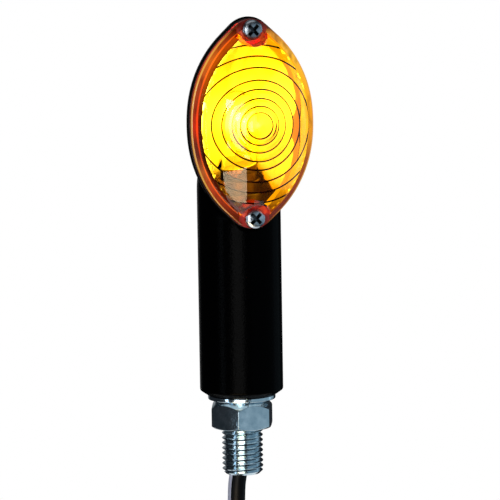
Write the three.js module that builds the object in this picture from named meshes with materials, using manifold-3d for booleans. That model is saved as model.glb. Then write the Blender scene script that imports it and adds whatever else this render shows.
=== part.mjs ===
// Motorcycle turn signal indicator: a cat-eye lamp head on a round stem, held by a hollow M10 x 1.25 stud.
// Millimetres. The origin is the centre of the stem's bottom face, on the stud's axis. +Z runs up the stem
// to the head, the lens faces -Y, and +X is on the right of someone who looks at the lens.

import * as THREE from 'three';
import { mergeVertices } from 'three/addons/utils/BufferGeometryUtils.js';
import Module from 'manifold-3d';

const wasm = await Module();
wasm.setup();

// ---- Driving dimensions ----

const GAP = 0.3; // between two pieces that are cut to fit each other
const SEAT = 0.05; // between two flat faces that rest on each other

const STEM_RADIUS = 10.1;
const STEM_CHAMFER = { radial: 1.75, axial: 1.2 };
const STEM_TOP = 50; // where the stem starts to round off inside the head
const STEM_DOME = 16;

// The cat-eye outline: |x / halfWidth| ^ ACROSS + |z / halfHeight| ^ ALONG = 1, its two points rounded off.
const ACROSS = 1.38;
const ALONG = 2.19;
const TIP_RADIUS = 6.6;
const HEAD = { z: 66.8, halfWidth: 15.6, halfHeight: 25.57 };
const HEAD_WALL = 1.9;
const RIM_Y = -9.4; // the housing's front rim
const HULL_START_Y = -9.2; // behind this the head draws in
const HULL_BACK_Y = 10;
const HULL_WIDTH_POWER = 1.24; // under 2, so the sides slope in at once and round off at the keel
const HULL_HEIGHT_POWER = 1.67;
const HULL_DEPTHS = [0, 0.15, 0.32, 0.5, 0.68, 0.83, 0.93, 0.985]; // sections, as shares of the depth
const OUTLINE_POINTS = 40;

const GASKET_THICKNESS = 0.8;
const FLANGE_THICKNESS = 1.5;
const FLANGE_BACK_Y = RIM_Y - GASKET_THICKNESS - 2 * SEAT;
const FLANGE_FRONT_Y = FLANGE_BACK_Y - FLANGE_THICKNESS;
const LENS = { halfWidth: 15.6, halfHeight: 25.2 };
const DOME = { halfWidth: 13.65, halfHeight: 23.2, crown: 8.4, acrossCurve: 0.0327, alongCurve: 0.0123 };
const LENS_WALL = 1.3;
const LENS_TIP_WALL = 2.5; // towards the two points of the outline
const POCKET_RADIUS = 3.5; // the lens is scooped out round each screw

const SCREW = { spacing: 45.1, shank: 1.25, length: 5.3, head: 2.45, headHeight: 1.7, hole: 1.5 };
const CROSS_RECESS = { halfLength: 1.35, halfWidth: 0.28, depth: 1.2 };
const BOSS = { radius: 3, length: 8, holeDepth: 3.15 };

const REFLECTOR = { wall: 0.9, endMargin: 3.2, backGap: 0.5 };
const GASKET_OPENING = { rim: 1.8, halfHeight: 19.6 };

const STUD = { major: 4.97, minor: 4.25, pitch: 1.25, bore: 3.3, end: -19.5, top: 14, shank: 4.7 };
const STUD_CHAMFER = 0.9;
const WASHER = { inner: 5.2, outer: 8.2, thickness: 1.1, slitAngle: -100, slitWidth: 0.7 };
const NUT = { flats: 14, height: 7, bore: 5.15, turned: 6, topFace: 6, mouth: 1.3, chamfer: 0.7 };
const NUT_TOP = -WASHER.thickness - SEAT;

const WIRE_BORE = 4.5;
const SOCKET_BORE = 5.8;
const SOCKET_BORE_BOTTOM = 31;
const FLANGE_SEAT = { radius: 7.7, z: 46.7 };
const BULB_CLEARANCE_TOP = 62;
const REFLECTOR_FOOT = 49.8;
const SHELL = { inner: 4.85, outer: 5.5, bottom: 33, top: 51.5 };
const SOCKET_FLANGE = { inner: 5.6, outer: 7.3, thickness: 1.9 };
const INSULATOR = { radius: 4.6, bottom: 33.2, top: 35.7 };
const FEED = { bore: 1.2, head: 1.6, rivet: 1, bottom: 32.4, top: 36.6, headThickness: 0.7 };
const LUG = { x: [3.3, 5.4], y: [-1, 1], z: [32.3, 32.9] };
const PLUNGER = {
  radius: 4.4, bottom: 39.9, top: 41, spigot: 1, spigotLength: 1.4, button: 1.4, buttonHeight: 0.3,
};
const SPRING = { radius: 2.6, wire: 0.3, turns: 3.5 };
const BULB = {
  contactZ: 41.05, insulatorZ: 42.2, baseBottom: 43.4, baseTop: 54.4, base: 4.55, glass: 4.35, glassTop: 75.5,
};
const BULB_GLASS_WALL = 0.6;
const FILAMENT_Z = 67;
const PIN = { z: 47, radius: 0.8, reach: 5.4 };
const BAYONET = { turn: 25, push: 1.5 };

const INNER_WIRE = { radius: 0.85, spread: 1.3 };
const CABLE_RADIUS = 2.125;
const CABLE_X = -1; // the lead leaves the stud's bore a little off its axis
const CABLE_TOP = 2;
const HANK = { top: -44.8, bottom: -115.2, halfWidth: 15, halfThickness: 4.5 };
const TIE = { z: -80, height: 4, wall: 1.2 };
const TAIL = { radius: 1.05, x: -6, y: -2.2, spread: 1.6, end: -130 };
const SLEEVE = { radius: 2.3, length: 10, spread: 3.2 };
const BULLET = { radius: 1.95, neck: 1.35, length: 9 };

// ---- Finishes ----

const FINISHES = {
  blackPaint: { color: 0x0b0b0c, roughness: 0.45, metalness: 0.1 },
  zinc: { color: 0xb8c4cc, roughness: 0.3, metalness: 0.9 },
  steel: { color: 0x9aa3aa, roughness: 0.25, metalness: 1 },
  brass: { color: 0xc9a357, roughness: 0.35, metalness: 1 },
  nickel: { color: 0xc9c6bd, roughness: 0.3, metalness: 1 },
  amber: { color: 0xffa000, roughness: 0.08, metalness: 0, transparent: true, opacity: 0.6 },
  glass: { color: 0xf4f2ea, roughness: 0.03, metalness: 0, transparent: true, opacity: 0.35 },
  mirror: { color: 0xe6e6e6, roughness: 0.12, metalness: 1 },
  tungsten: { color: 0xffe2a0, roughness: 0.5, metalness: 0.8 },
  rubber: { color: 0x151515, roughness: 0.8, metalness: 0 },
  fibre: { color: 0x7a3b22, roughness: 0.7, metalness: 0 },
  blackVinyl: { color: 0x101013, roughness: 0.4, metalness: 0 },
  blueVinyl: { color: 0x2c4f9a, roughness: 0.45, metalness: 0 },
  clearVinyl: { color: 0xd8d8d4, roughness: 0.35, metalness: 0 },
};

// ---- Solids ----

// A mesh's closed surface as a solid, with its faces turned outward.
function solidOf(geometry) {
  const bare = new THREE.BufferGeometry();
  bare.setAttribute('position', geometry.getAttribute('position').clone());
  bare.setIndex(geometry.index);
  const merged = mergeVertices(bare, 1e-4);
  const corners = merged.index.array;
  const position = merged.getAttribute('position');
  const [a, b, c] = [0, 1, 2].map(() => new THREE.Vector3());
  const triangles = [];
  let volume = 0;
  for (let i = 0; i < corners.length; i += 3) {
    const [p, q, r] = corners.slice(i, i + 3);
    if (p !== q && q !== r && r !== p) {
      triangles.push([p, q, r]);
      a.fromBufferAttribute(position, p);
      b.fromBufferAttribute(position, q);
      c.fromBufferAttribute(position, r);
      volume += a.dot(b.cross(c)) / 6;
    }
  }
  const outward = volume > 0 ? triangles : triangles.map(([p, q, r]) => [p, r, q]);
  const vertProperties = new Float32Array(position.array);
  const triVerts = new Uint32Array(outward.flat());
  return new wasm.Manifold(new wasm.Mesh({ numProp: 3, vertProperties, triVerts }));
}

function geometryOf(solid) {
  const { vertProperties, triVerts } = solid.getMesh();
  const geometry = new THREE.BufferGeometry();
  geometry.setAttribute('position', new THREE.BufferAttribute(new Float32Array(vertProperties), 3));
  geometry.setIndex(new THREE.BufferAttribute(new Uint32Array(triVerts), 1));
  geometry.computeVertexNormals();
  return geometry;
}

const join = (...solids) => solids.reduce((whole, solid) => whole.add(solid));
const cut = (solid, ...tools) => tools.reduce((rest, tool) => rest.subtract(tool), solid);

// A solid of revolution about +Z, from a closed profile of [radius, z] points.
function turned(profile, segments = 24) {
  const points = profile.map(([radius, z]) => new THREE.Vector2(radius, z));
  if (profile[0][0] > 0) points.push(points[0].clone());
  return solidOf(new THREE.LatheGeometry(points, segments).rotateX(Math.PI / 2));
}

const disc = (radius, bottom, top, segments) =>
  turned([[0, bottom], [radius, bottom], [radius, top], [0, top]], segments);

const ring = (inner, outer, bottom, top, segments) =>
  turned([[inner, bottom], [outer, bottom], [outer, top], [inner, top]], segments);

// A solid turned about +Z, laid along -Y at a height and depth.
const facingLens = (solid, z, y) => solid.rotate([90, 0, 0]).translate([0, y, z]);

function box([x0, x1], [y0, y1], [z0, z1]) {
  const geometry = new THREE.BoxGeometry(x1 - x0, y1 - y0, z1 - z0);
  return solidOf(geometry.translate((x0 + x1) / 2, (y0 + y1) / 2, (z0 + z1) / 2));
}

// A flat outline of [across, up] points, extruded along -Y from back to front.
function plate(outline, back, front) {
  const shape = new THREE.Shape(outline.map(([x, z]) => new THREE.Vector2(x, z)));
  const geometry = new THREE.ExtrudeGeometry(shape, { depth: back - front, bevelEnabled: false });
  return solidOf(geometry.rotateX(Math.PI / 2).translate(0, back, 0));
}

// A closed skin through rings that have equally many points, with a flat cap on each end.
function lofted(rings) {
  const count = rings[0].length;
  const last = (rings.length - 1) * count;
  const index = [];
  for (let start = 0; start < last; start += count) {
    for (let i = 0; i < count; i += 1) {
      const [a, b] = [start + i, start + ((i + 1) % count)];
      index.push(a, b, a + count, b, b + count, a + count);
    }
  }
  for (let i = 1; i + 1 < count; i += 1) {
    index.push(0, i + 1, i, last, last + i, last + i + 1);
  }
  const geometry = new THREE.BufferGeometry();
  geometry.setAttribute('position', new THREE.Float32BufferAttribute(rings.flat(2), 3));
  geometry.setIndex(index);
  return solidOf(geometry);
}

// A round rod along a smooth curve through the points.
function rod(points, radius, steps, sides = 8) {
  const curve = new THREE.CatmullRomCurve3(points.map((point) => new THREE.Vector3(...point)));
  const section = new THREE.Shape();
  for (let i = 0; i < sides; i += 1) {
    const angle = (2 * Math.PI * i) / sides;
    const corner = [radius * Math.cos(angle), radius * Math.sin(angle)];
    if (i === 0) section.moveTo(...corner);
    else section.lineTo(...corner);
  }
  return solidOf(new THREE.ExtrudeGeometry(section, { steps, extrudePath: curve }));
}

// A hexagonal prism about +Z, its corners at cornerAngle and every 60 degrees from there.
function hexagon(flats, bottom, top, cornerAngle) {
  const corner = flats / 2 / Math.cos(Math.PI / 6);
  return disc(corner, bottom, top, 6).rotate([0, 0, cornerAngle + 90]);
}

// ---- The cat-eye outline and the shapes that follow it ----

function catEye({ halfWidth, halfHeight }, count = OUTLINE_POINTS) {
  const tip = (TIP_RADIUS * halfWidth) / HEAD.halfWidth;
  return Array.from({ length: count }, (_, i) => {
    const angle = (2 * Math.PI * i) / count;
    const [c, s] = [Math.cos(angle), Math.sin(angle)];
    const z = halfHeight * Math.abs(s) ** (2 / ALONG);
    const below = halfHeight - z;
    const pointed = halfWidth * Math.abs(c) ** (2 / ACROSS);
    const x = below < tip / 2 ? Math.max(pointed, Math.sqrt(below * (2 * tip - below))) : pointed;
    return [Math.sign(c) * x, HEAD.z + Math.sign(s) * z];
  });
}

// A boat-shaped hull: the cat-eye outline, straight from front to HULL_START_Y, then closing in behind.
function hull({ halfWidth, halfHeight }, front, back) {
  const sections = HULL_DEPTHS.map((depth) => {
    const width = halfWidth * Math.sqrt(1 - depth ** HULL_WIDTH_POWER);
    const height = halfHeight * Math.sqrt(1 - depth ** HULL_HEIGHT_POWER);
    return { width, height, y: HULL_START_Y + depth * (back - HULL_START_Y) };
  });
  sections.unshift({ width: halfWidth, height: halfHeight, y: front });
  return lofted(sections.map(({ width, height, y }) =>
    catEye({ halfWidth: width, halfHeight: height }).map(([x, z]) => [x, y, z])));
}

// A crowned cap on the cat-eye outline: a low side wall, a rounded edge and a crown over it.
function crownedCap({ halfWidth, halfHeight }, base, drop) {
  const levels = [[1, 0], [0.99, 0.62], [0.975, 0.88], [0.93, 1], [0.7, 1], [0.4, 1], [0.12, 1]];
  return lofted(levels.map(([scale, share]) => catEye({ halfWidth, halfHeight }).map(([x, z]) => {
    const [across, along] = [x * scale, (z - HEAD.z) * scale];
    const height = DOME.crown - DOME.acrossCurve * across ** 2 - DOME.alongCurve * along ** 2 - drop;
    return [across, share === 0 ? base : FLANGE_FRONT_Y - share * height, HEAD.z + along];
  })));
}

const SCREW_LEVELS = [HEAD.z + SCREW.spacing / 2, HEAD.z - SCREW.spacing / 2];

const atScrews = (make) => join(...SCREW_LEVELS.map((z, i) => make(z, i === 0 ? 1 : -1)));

// ---- Casing ----

function housing() {
  const { radial, axial } = STEM_CHAMFER;
  const roundOff = [0.3, 0.6, 0.85].map((share) =>
    [STEM_RADIUS * Math.sqrt(1 - share ** 2), STEM_TOP + share * STEM_DOME]);
  const stem = turned([
    [0, 0], [STEM_RADIUS - radial, 0], [STEM_RADIUS, axial], [STEM_RADIUS, STEM_TOP],
    ...roundOff, [0, STEM_TOP + STEM_DOME],
  ], 40);
  const frontRelief = plate(catEye({ halfWidth: LENS.halfWidth + GAP, halfHeight: LENS.halfHeight + GAP }),
    RIM_Y, RIM_Y - 5);
  const inside = { halfWidth: HEAD.halfWidth - HEAD_WALL, halfHeight: HEAD.halfHeight - HEAD_WALL - 0.6 };
  const bosses = atScrews((z) => facingLens(disc(BOSS.radius, 0, BOSS.length, 20), z, RIM_Y + BOSS.length));
  const cavity = cut(hull(inside, RIM_Y - 2, HULL_BACK_Y - HEAD_WALL), bosses);
  const screwHoles = atScrews((z) => facingLens(disc(SCREW.hole, 0, 5, 16), z, RIM_Y + BOSS.holeDepth));
  return cut(
    join(cut(stem, frontRelief), hull(HEAD, RIM_Y, HULL_BACK_Y)),
    cavity,
    disc(FLANGE_SEAT.radius, FLANGE_SEAT.z, FLANGE_SEAT.z + 5),
    disc(SOCKET_BORE, FLANGE_SEAT.z, BULB_CLEARANCE_TOP),
    disc(SOCKET_BORE, SOCKET_BORE_BOTTOM, FLANGE_SEAT.z + 1),
    disc(WIRE_BORE, STUD.top, SOCKET_BORE_BOTTOM + 1),
    disc(STUD.shank + GAP, -1, STUD.top + GAP),
    screwHoles,
  );
}

function lensGasket() {
  const sheet = plate(catEye({ halfWidth: HEAD.halfWidth - 0.3, halfHeight: HEAD.halfHeight - 0.3 }),
    RIM_Y - SEAT, RIM_Y - SEAT - GASKET_THICKNESS);
  const { rim, halfHeight } = GASKET_OPENING;
  const opening = plate(catEye({ halfWidth: HEAD.halfWidth - rim, halfHeight }), RIM_Y + 1, RIM_Y - 3);
  return cut(sheet, opening, atScrews((z) => facingLens(disc(SCREW.hole, 0, 4, 16), z, RIM_Y + 1)));
}

function lens() {
  const flange = plate(catEye(LENS), FLANGE_BACK_Y, FLANGE_FRONT_Y);
  const pockets = (radius) => atScrews((z, outward) => join(
    facingLens(disc(radius, 0, 12, 28), z, FLANGE_FRONT_Y),
    box([-radius, radius], [FLANGE_FRONT_Y - 12, FLANGE_FRONT_Y],
      outward > 0 ? [z, z + 6] : [z - 6, z]),
  ));
  const dome = cut(crownedCap(DOME, FLANGE_FRONT_Y, 0), pockets(POCKET_RADIUS));
  const inner = { halfWidth: DOME.halfWidth - LENS_WALL, halfHeight: DOME.halfHeight - LENS_TIP_WALL };
  const hollow = join(
    cut(crownedCap(inner, FLANGE_FRONT_Y, LENS_WALL), pockets(POCKET_RADIUS + LENS_WALL)),
    cut(
      plate(catEye(inner), FLANGE_BACK_Y + 1, FLANGE_FRONT_Y - 0.1),
      atScrews((z) => facingLens(disc(POCKET_RADIUS + LENS_WALL, 0, 5, 28), z, FLANGE_BACK_Y + 2)),
    ),
  );
  const holes = atScrews((z) => facingLens(disc(SCREW.hole, 0, 5, 16), z, FLANGE_BACK_Y + 1));
  return cut(join(flange, dome), hollow, holes);
}

function reflector() {
  const { wall, endMargin, backGap } = REFLECTOR;
  const outer = { halfWidth: HEAD.halfWidth - HEAD_WALL - GAP, halfHeight: HEAD.halfHeight - endMargin };
  const inner = { halfWidth: outer.halfWidth - wall, halfHeight: outer.halfHeight - wall };
  const back = HULL_BACK_Y - HEAD_WALL - backGap;
  return cut(
    hull(outer, RIM_Y + 0.1, back),
    hull(inner, RIM_Y - 1, back - wall),
    box([-20, 20], [-20, 20], [30, REFLECTOR_FOOT]),
    disc(SOCKET_BORE + 2 * GAP, REFLECTOR_FOOT - 1, BULB_CLEARANCE_TOP),
    atScrews((z) => facingLens(disc(BOSS.radius + GAP, 0, 9, 20), z, RIM_Y + BOSS.length + 0.5)),
  );
}

// A pan-head screw with a cross recess, its head towards the lens side.
function lensScrew(z) {
  const { shank, head, headHeight, length } = SCREW;
  const body = turned([
    [0, -length], [shank * 0.6, -length], [shank, -length + 0.8], [shank, 0], [head, 0],
    [head, headHeight * 0.45], [head * 0.8, headHeight * 0.85], [head * 0.45, headHeight], [0, headHeight],
  ], 24);
  const { halfLength, halfWidth, depth } = CROSS_RECESS;
  const blade = (angle) => box([-halfLength, halfLength], [-halfWidth, halfWidth],
    [headHeight - depth, headHeight + 1]).rotate([0, 0, angle]);
  return facingLens(cut(body, blade(45), blade(135)), z, FLANGE_FRONT_Y - SEAT);
}

// ---- Fixing at the foot of the stem ----

// A right-hand 60-degree thread as one solid: rows of the profile, wound up on a helix.
function threadedRod({ major, minor, pitch }, bottom, turns, columns = 18) {
  const profile = [[major, 0], [major, 1 / 8], [minor, 9 / 16]];
  const rows = profile.length * turns;
  const points = [];
  const rowAt = (k, i) => {
    const [radius, share] = profile[k % profile.length];
    const angle = (2 * Math.PI * i) / columns;
    const z = bottom + pitch * (Math.floor(k / profile.length) + share + i / columns);
    return [radius * Math.cos(angle), radius * Math.sin(angle), z];
  };
  for (let k = 0; k <= rows + profile.length; k += 1) {
    for (let i = 0; i < columns; i += 1) points.push(rowAt(k, i));
  }
  const at = (k, i) => (i === columns ? (k + profile.length) * columns : k * columns + i);
  const index = [];
  for (let k = 0; k < rows; k += 1) {
    for (let i = 0; i < columns; i += 1) {
      index.push(at(k, i), at(k, i + 1), at(k + 1, i), at(k, i + 1), at(k + 1, i + 1), at(k + 1, i));
    }
  }
  // Each end is a fan from a point on the axis to the last turn and the step that it makes.
  for (const [k, end] of [[0, points.length], [rows, points.length + 1]]) {
    const edge = Array.from({ length: columns + 1 }, (_, i) => at(k, i));
    for (let step = profile.length - 1; step >= 0; step -= 1) edge.push(at(k + step, 0));
    for (let i = 0; i + 1 < edge.length; i += 1) {
      const [a, b] = k === 0 ? [edge[i + 1], edge[i]] : [edge[i], edge[i + 1]];
      index.push(end, a, b);
    }
  }
  points.push([0, 0, bottom + pitch / 2], [0, 0, bottom + pitch * (turns + 0.5)]);
  const geometry = new THREE.BufferGeometry();
  geometry.setAttribute('position', new THREE.Float32BufferAttribute(points.flat(), 3));
  geometry.setIndex(index);
  return solidOf(geometry);
}

function threadedStud() {
  const { major, pitch, bore, end, top, shank } = STUD;
  const turns = Math.ceil(-end / pitch) + 2;
  const envelope = turned([
    [0, end], [major - STUD_CHAMFER, end], [major + 0.05, end + STUD_CHAMFER], [major + 0.05, 0], [0, 0],
  ], 32);
  const thread = threadedRod(STUD, end - pitch * 1.5, turns).intersect(envelope);
  return cut(join(thread, disc(shank, -pitch, top)), disc(bore, end - 1, top + 1));
}

function lockWasher() {
  const { inner, outer, thickness, slitAngle, slitWidth } = WASHER;
  const body = turned([
    [inner, -thickness], [outer - 0.4, -thickness], [outer - 0.1, -thickness + 0.12],
    [outer, -thickness + 0.4], [outer, -SEAT], [inner, -SEAT],
  ], 36);
  const slit = box([inner - 1, outer + 1], [-slitWidth / 2, slitWidth / 2], [-3, 3]);
  return cut(body, slit.rotate([25, 0, 0]).rotate([0, 0, slitAngle]));
}

function hexNut() {
  const { flats, height, bore, turned: cornerAngle, topFace, mouth, chamfer } = NUT;
  const [top, bottom] = [NUT_TOP, NUT_TOP - height];
  const corner = flats / 2 / Math.cos(Math.PI / 6);
  const envelope = turned([
    [0, bottom], [corner - 1.2, bottom], [corner + 0.1, bottom + chamfer + 0.06],
    [corner + 0.1, top - (corner + 0.1 - topFace)], [topFace, top], [0, top],
  ], 36);
  const hole = turned([
    [0, bottom - 1], [bore + mouth, bottom - 1], [bore, bottom + 0.4], [bore, top - 0.4],
    [bore + mouth, top + 1], [0, top + 1],
  ], 24);
  return cut(hexagon(flats, bottom, top, cornerAngle).intersect(envelope), hole);
}

// ---- Lamp socket and bulb ----

function socketFlange() {
  const { inner, outer, thickness } = SOCKET_FLANGE;
  const bottom = FLANGE_SEAT.z + SEAT;
  return ring(inner, outer, bottom, bottom + thickness);
}

const socketInsulator = () => ring(FEED.bore, INSULATOR.radius, INSULATOR.bottom, INSULATOR.top);

// A rivet through the insulator, with its head below and its tip inside the spring.
function feedTerminal() {
  const { head, rivet, bottom, top, headThickness } = FEED;
  const under = bottom + headThickness;
  return turned([[0, bottom], [head, bottom], [head, under], [rivet, under], [rivet, top], [0, top]], 16);
}

const groundLug = () => box(LUG.x, LUG.y, LUG.z);

// A tube with two bayonet slots, each an entry from the top and a channel to the side.
function socketShell() {
  const { inner, outer, bottom, top } = SHELL;
  const width = PIN.radius + GAP;
  const channelBottom = PIN.z - width - BAYONET.push;
  const slots = [0, 180].map((side) => {
    const channel = [0, 0.5, 1].map((share) => box([3, 7], [-width, width], [channelBottom, PIN.z + width])
      .rotate([0, 0, side + BAYONET.turn * share]));
    const entry = box([3, 7], [-width, width], [channelBottom, top + 1]).rotate([0, 0, side + BAYONET.turn]);
    return join(...channel, entry);
  });
  return cut(ring(inner, outer, bottom, top), ...slots);
}

function contactSpring() {
  const bottom = INSULATOR.top + SEAT + SPRING.wire;
  const rise = PLUNGER.bottom - SEAT - SPRING.wire - bottom;
  const steps = Math.round(SPRING.turns * 12);
  const points = Array.from({ length: steps + 1 }, (_, i) => {
    const angle = (2 * Math.PI * SPRING.turns * i) / steps;
    return [SPRING.radius * Math.cos(angle), SPRING.radius * Math.sin(angle), bottom + (rise * i) / steps];
  });
  return rod(points, SPRING.wire, steps, 6);
}

// A disc with a spigot below, inside the spring, and a low button above for the bulb's contact.
function contactPlunger() {
  const { radius, bottom, top, spigot, spigotLength, button, buttonHeight } = PLUNGER;
  return turned([
    [0, bottom - spigotLength], [spigot, bottom - spigotLength], [spigot, bottom], [radius, bottom],
    [radius, top - buttonHeight], [button + 0.2, top - buttonHeight], [button, top], [0, top],
  ]);
}

function bulbBase() {
  const { base, baseBottom, baseTop } = BULB;
  const cup = turned([
    [0, baseBottom], [base - 0.6, baseBottom], [base, baseBottom + 0.6], [base, baseTop - 1.2],
    [base + 0.2, baseTop - 1], [base + 0.2, baseTop], [0, baseTop],
  ]);
  const pin = disc(PIN.radius, -PIN.reach, PIN.reach, 14).rotate([0, 90, 0]).translate([0, 0, PIN.z]);
  return join(cup, pin);
}

// The tapered insulator under the cap, and the solder contact under that.
function bulbInsulator() {
  const top = BULB.baseBottom - SEAT;
  return turned([[0, BULB.insulatorZ], [2.4, BULB.insulatorZ], [3.6, top], [0, top]], 20);
}

function bulbContact() {
  const top = BULB.insulatorZ - SEAT;
  return turned([[0, BULB.contactZ], [1.1, BULB.contactZ], [1.7, top], [0, top]], 16);
}

function bulbGlass() {
  const { glass, baseTop, glassTop } = BULB;
  const bottom = baseTop + SEAT;
  const dome = (radius, top) => [[radius, top - radius], [radius * 0.9, top - radius * 0.56],
    [radius * 0.62, top - radius * 0.2], [0, top]];
  const inside = glass - BULB_GLASS_WALL;
  return turned([
    [inside, bottom], [glass, bottom], ...dome(glass, glassTop),
    ...dome(inside, glassTop - BULB_GLASS_WALL).reverse(),
  ]);
}

function bulbFilament() {
  const foot = BULB.baseTop + SEAT;
  const lead = (x) => disc(0.25, foot, FILAMENT_Z + 0.2, 8).translate([x, 0, 0]);
  const bead = box([-1.9, 1.9], [-0.5, 0.5], [foot + 3, foot + 4.2]);
  const coil = disc(0.45, -2, 2, 10).rotate([0, 90, 0]).translate([0, 0, FILAMENT_Z]);
  return join(lead(-1.6), lead(1.6), bead, coil);
}

// ---- Wiring ----

function wireGrommet() {
  const hole = (x) => disc(INNER_WIRE.radius + 0.2, STUD.top - 5, STUD.top + 10, 12).translate([x, 0, 0]);
  return cut(
    disc(WIRE_BORE - 0.25, STUD.top + GAP, STUD.top + 4.3, 24),
    hole(-INNER_WIRE.spread),
    hole(INNER_WIRE.spread),
  );
}

function innerWire(side, startX, startZ) {
  const x = side * INNER_WIRE.spread;
  return rod([
    [startX, 0, startZ], [startX * 0.9 + x * 0.1, 0, startZ - 3], [x, 0, 22], [x, 0, STUD.top],
    [x, 0, CABLE_TOP + 5], [x, 0, CABLE_TOP + GAP],
  ], INNER_WIRE.radius, 14);
}

function cable() {
  return rod([
    [-0.3, 0, CABLE_TOP], [-0.6, 0, -8], [CABLE_X, 0, -18], [CABLE_X, 0, -31], [CABLE_X, 0, HANK.top + GAP],
  ], CABLE_RADIUS, 6, 10);
}

// The outline of the hank or of a band round it, seen along Z: a rectangle with rounded corners.
function roundedRectangle(halfX, halfY, radius) {
  const corners = [[1, 1], [-1, 1], [-1, -1], [1, -1]];
  return corners.flatMap(([sx, sy], quarter) => Array.from({ length: 5 }, (_, i) => {
    const angle = (Math.PI / 2) * (quarter + i / 4);
    return [sx * (halfX - radius) + radius * Math.cos(angle), sy * (halfY - radius) + radius * Math.sin(angle)];
  }));
}

function cableHank() {
  const { top, bottom, halfWidth, halfThickness } = HANK;
  const [middle, half] = [(top + bottom) / 2, (top - bottom) / 2];
  const outline = roundedRectangle(halfWidth, half, halfWidth - 0.2).map(([x, z]) => [x, z + middle]);
  return plate(outline, halfThickness, -halfThickness);
}

function cableTie() {
  const { z, height, wall } = TIE;
  const band = (grow) => {
    const outline = roundedRectangle(HANK.halfWidth + grow, HANK.halfThickness + grow, grow);
    return outline.map(([x, y]) => new THREE.Vector2(x, y));
  };
  const shape = new THREE.Shape(band(GAP + wall));
  shape.holes.push(new THREE.Path(band(GAP)));
  return solidOf(new THREE.ExtrudeGeometry(shape, { depth: height, bevelEnabled: false })
    .translate(0, 0, z - height / 2));
}

function wireTail(side) {
  const { radius, x, y, spread, end } = TAIL;
  const drop = HANK.bottom - GAP;
  return rod([
    [x + side * (radius + 0.15), y, drop], [x + side * spread, y, drop - 4],
    [x + side * SLEEVE.spread, y, end + 3], [x + side * SLEEVE.spread, y, end],
  ], radius, 7);
}

function connectorSleeve(side) {
  const top = TAIL.end - SEAT;
  return turned([
    [0, top - SLEEVE.length], [SLEEVE.radius, top - SLEEVE.length], [SLEEVE.radius, top - 2.5],
    [SLEEVE.radius - 0.9, top], [0, top],
  ], 20).translate([TAIL.x + side * SLEEVE.spread, TAIL.y, 0]);
}

function bulletConnector(side) {
  const top = TAIL.end - SLEEVE.length - 2 * SEAT;
  const { radius, neck, length } = BULLET;
  return turned([
    [0, top - length], [radius * 0.55, top - length], [radius, top - length + 1.2], [radius, top - length + 3.4],
    [neck, top - length + 4.4], [neck, top - length + 5.6], [radius, top - length + 6.6], [radius, top], [0, top],
  ], 20).translate([TAIL.x + side * SLEEVE.spread, TAIL.y, 0]);
}

// ---- Assembly ----

const PIECES = [
  ['housing', 'blackPaint', housing()],
  ['lens_gasket', 'rubber', lensGasket()],
  ['lens', 'amber', lens()],
  ['reflector', 'mirror', reflector()],
  ['upper_lens_screw', 'steel', lensScrew(SCREW_LEVELS[0])],
  ['lower_lens_screw', 'steel', lensScrew(SCREW_LEVELS[1])],
  ['threaded_stud', 'zinc', threadedStud()],
  ['lock_washer', 'zinc', lockWasher()],
  ['hex_nut', 'zinc', hexNut()],
  ['socket_shell', 'nickel', socketShell()],
  ['socket_flange', 'nickel', socketFlange()],
  ['socket_insulator', 'fibre', socketInsulator()],
  ['feed_terminal', 'brass', feedTerminal()],
  ['ground_lug', 'brass', groundLug()],
  ['contact_spring', 'steel', contactSpring()],
  ['contact_plunger', 'brass', contactPlunger()],
  ['bulb_base', 'nickel', bulbBase()],
  ['bulb_insulator', 'fibre', bulbInsulator()],
  ['bulb_contact', 'nickel', bulbContact()],
  ['bulb_glass', 'glass', bulbGlass()],
  ['bulb_filament', 'tungsten', bulbFilament()],
  ['wire_grommet', 'rubber', wireGrommet()],
  ['feed_wire', 'blueVinyl', innerWire(-1, 0, 32.3)],
  ['ground_wire', 'blackVinyl', innerWire(1, 3.5, 32.2)],
  ['cable', 'blackVinyl', cable()],
  ['cable_hank', 'blackVinyl', cableHank()],
  ['cable_tie', 'rubber', cableTie()],
  ['feed_tail', 'blueVinyl', wireTail(-1)],
  ['ground_tail', 'blackVinyl', wireTail(1)],
  ['feed_sleeve', 'clearVinyl', connectorSleeve(-1)],
  ['ground_sleeve', 'clearVinyl', connectorSleeve(1)],
  ['feed_bullet', 'brass', bulletConnector(-1)],
  ['ground_bullet', 'brass', bulletConnector(1)],
];

const indicator = new THREE.Group();
indicator.name = 'turn_signal_indicator';
for (const [name, finish, solid] of PIECES) {
  const mesh = new THREE.Mesh(geometryOf(solid), new THREE.MeshStandardMaterial(FINISHES[finish]));
  mesh.name = name;
  indicator.add(mesh);
}

export default indicator;
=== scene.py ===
"""The looks of a motorcycle turn signal indicator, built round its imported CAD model.

Shapes are made in millimetres in the CAD model's frame: the origin is the centre of the stem's bottom face,
+Z runs up the stem and the lens faces -Y. settle() turns a finished shape into metres, on its body.
"""

import math

import bmesh
import bpy
import numpy as np
from mathutils import Matrix, Vector


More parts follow.
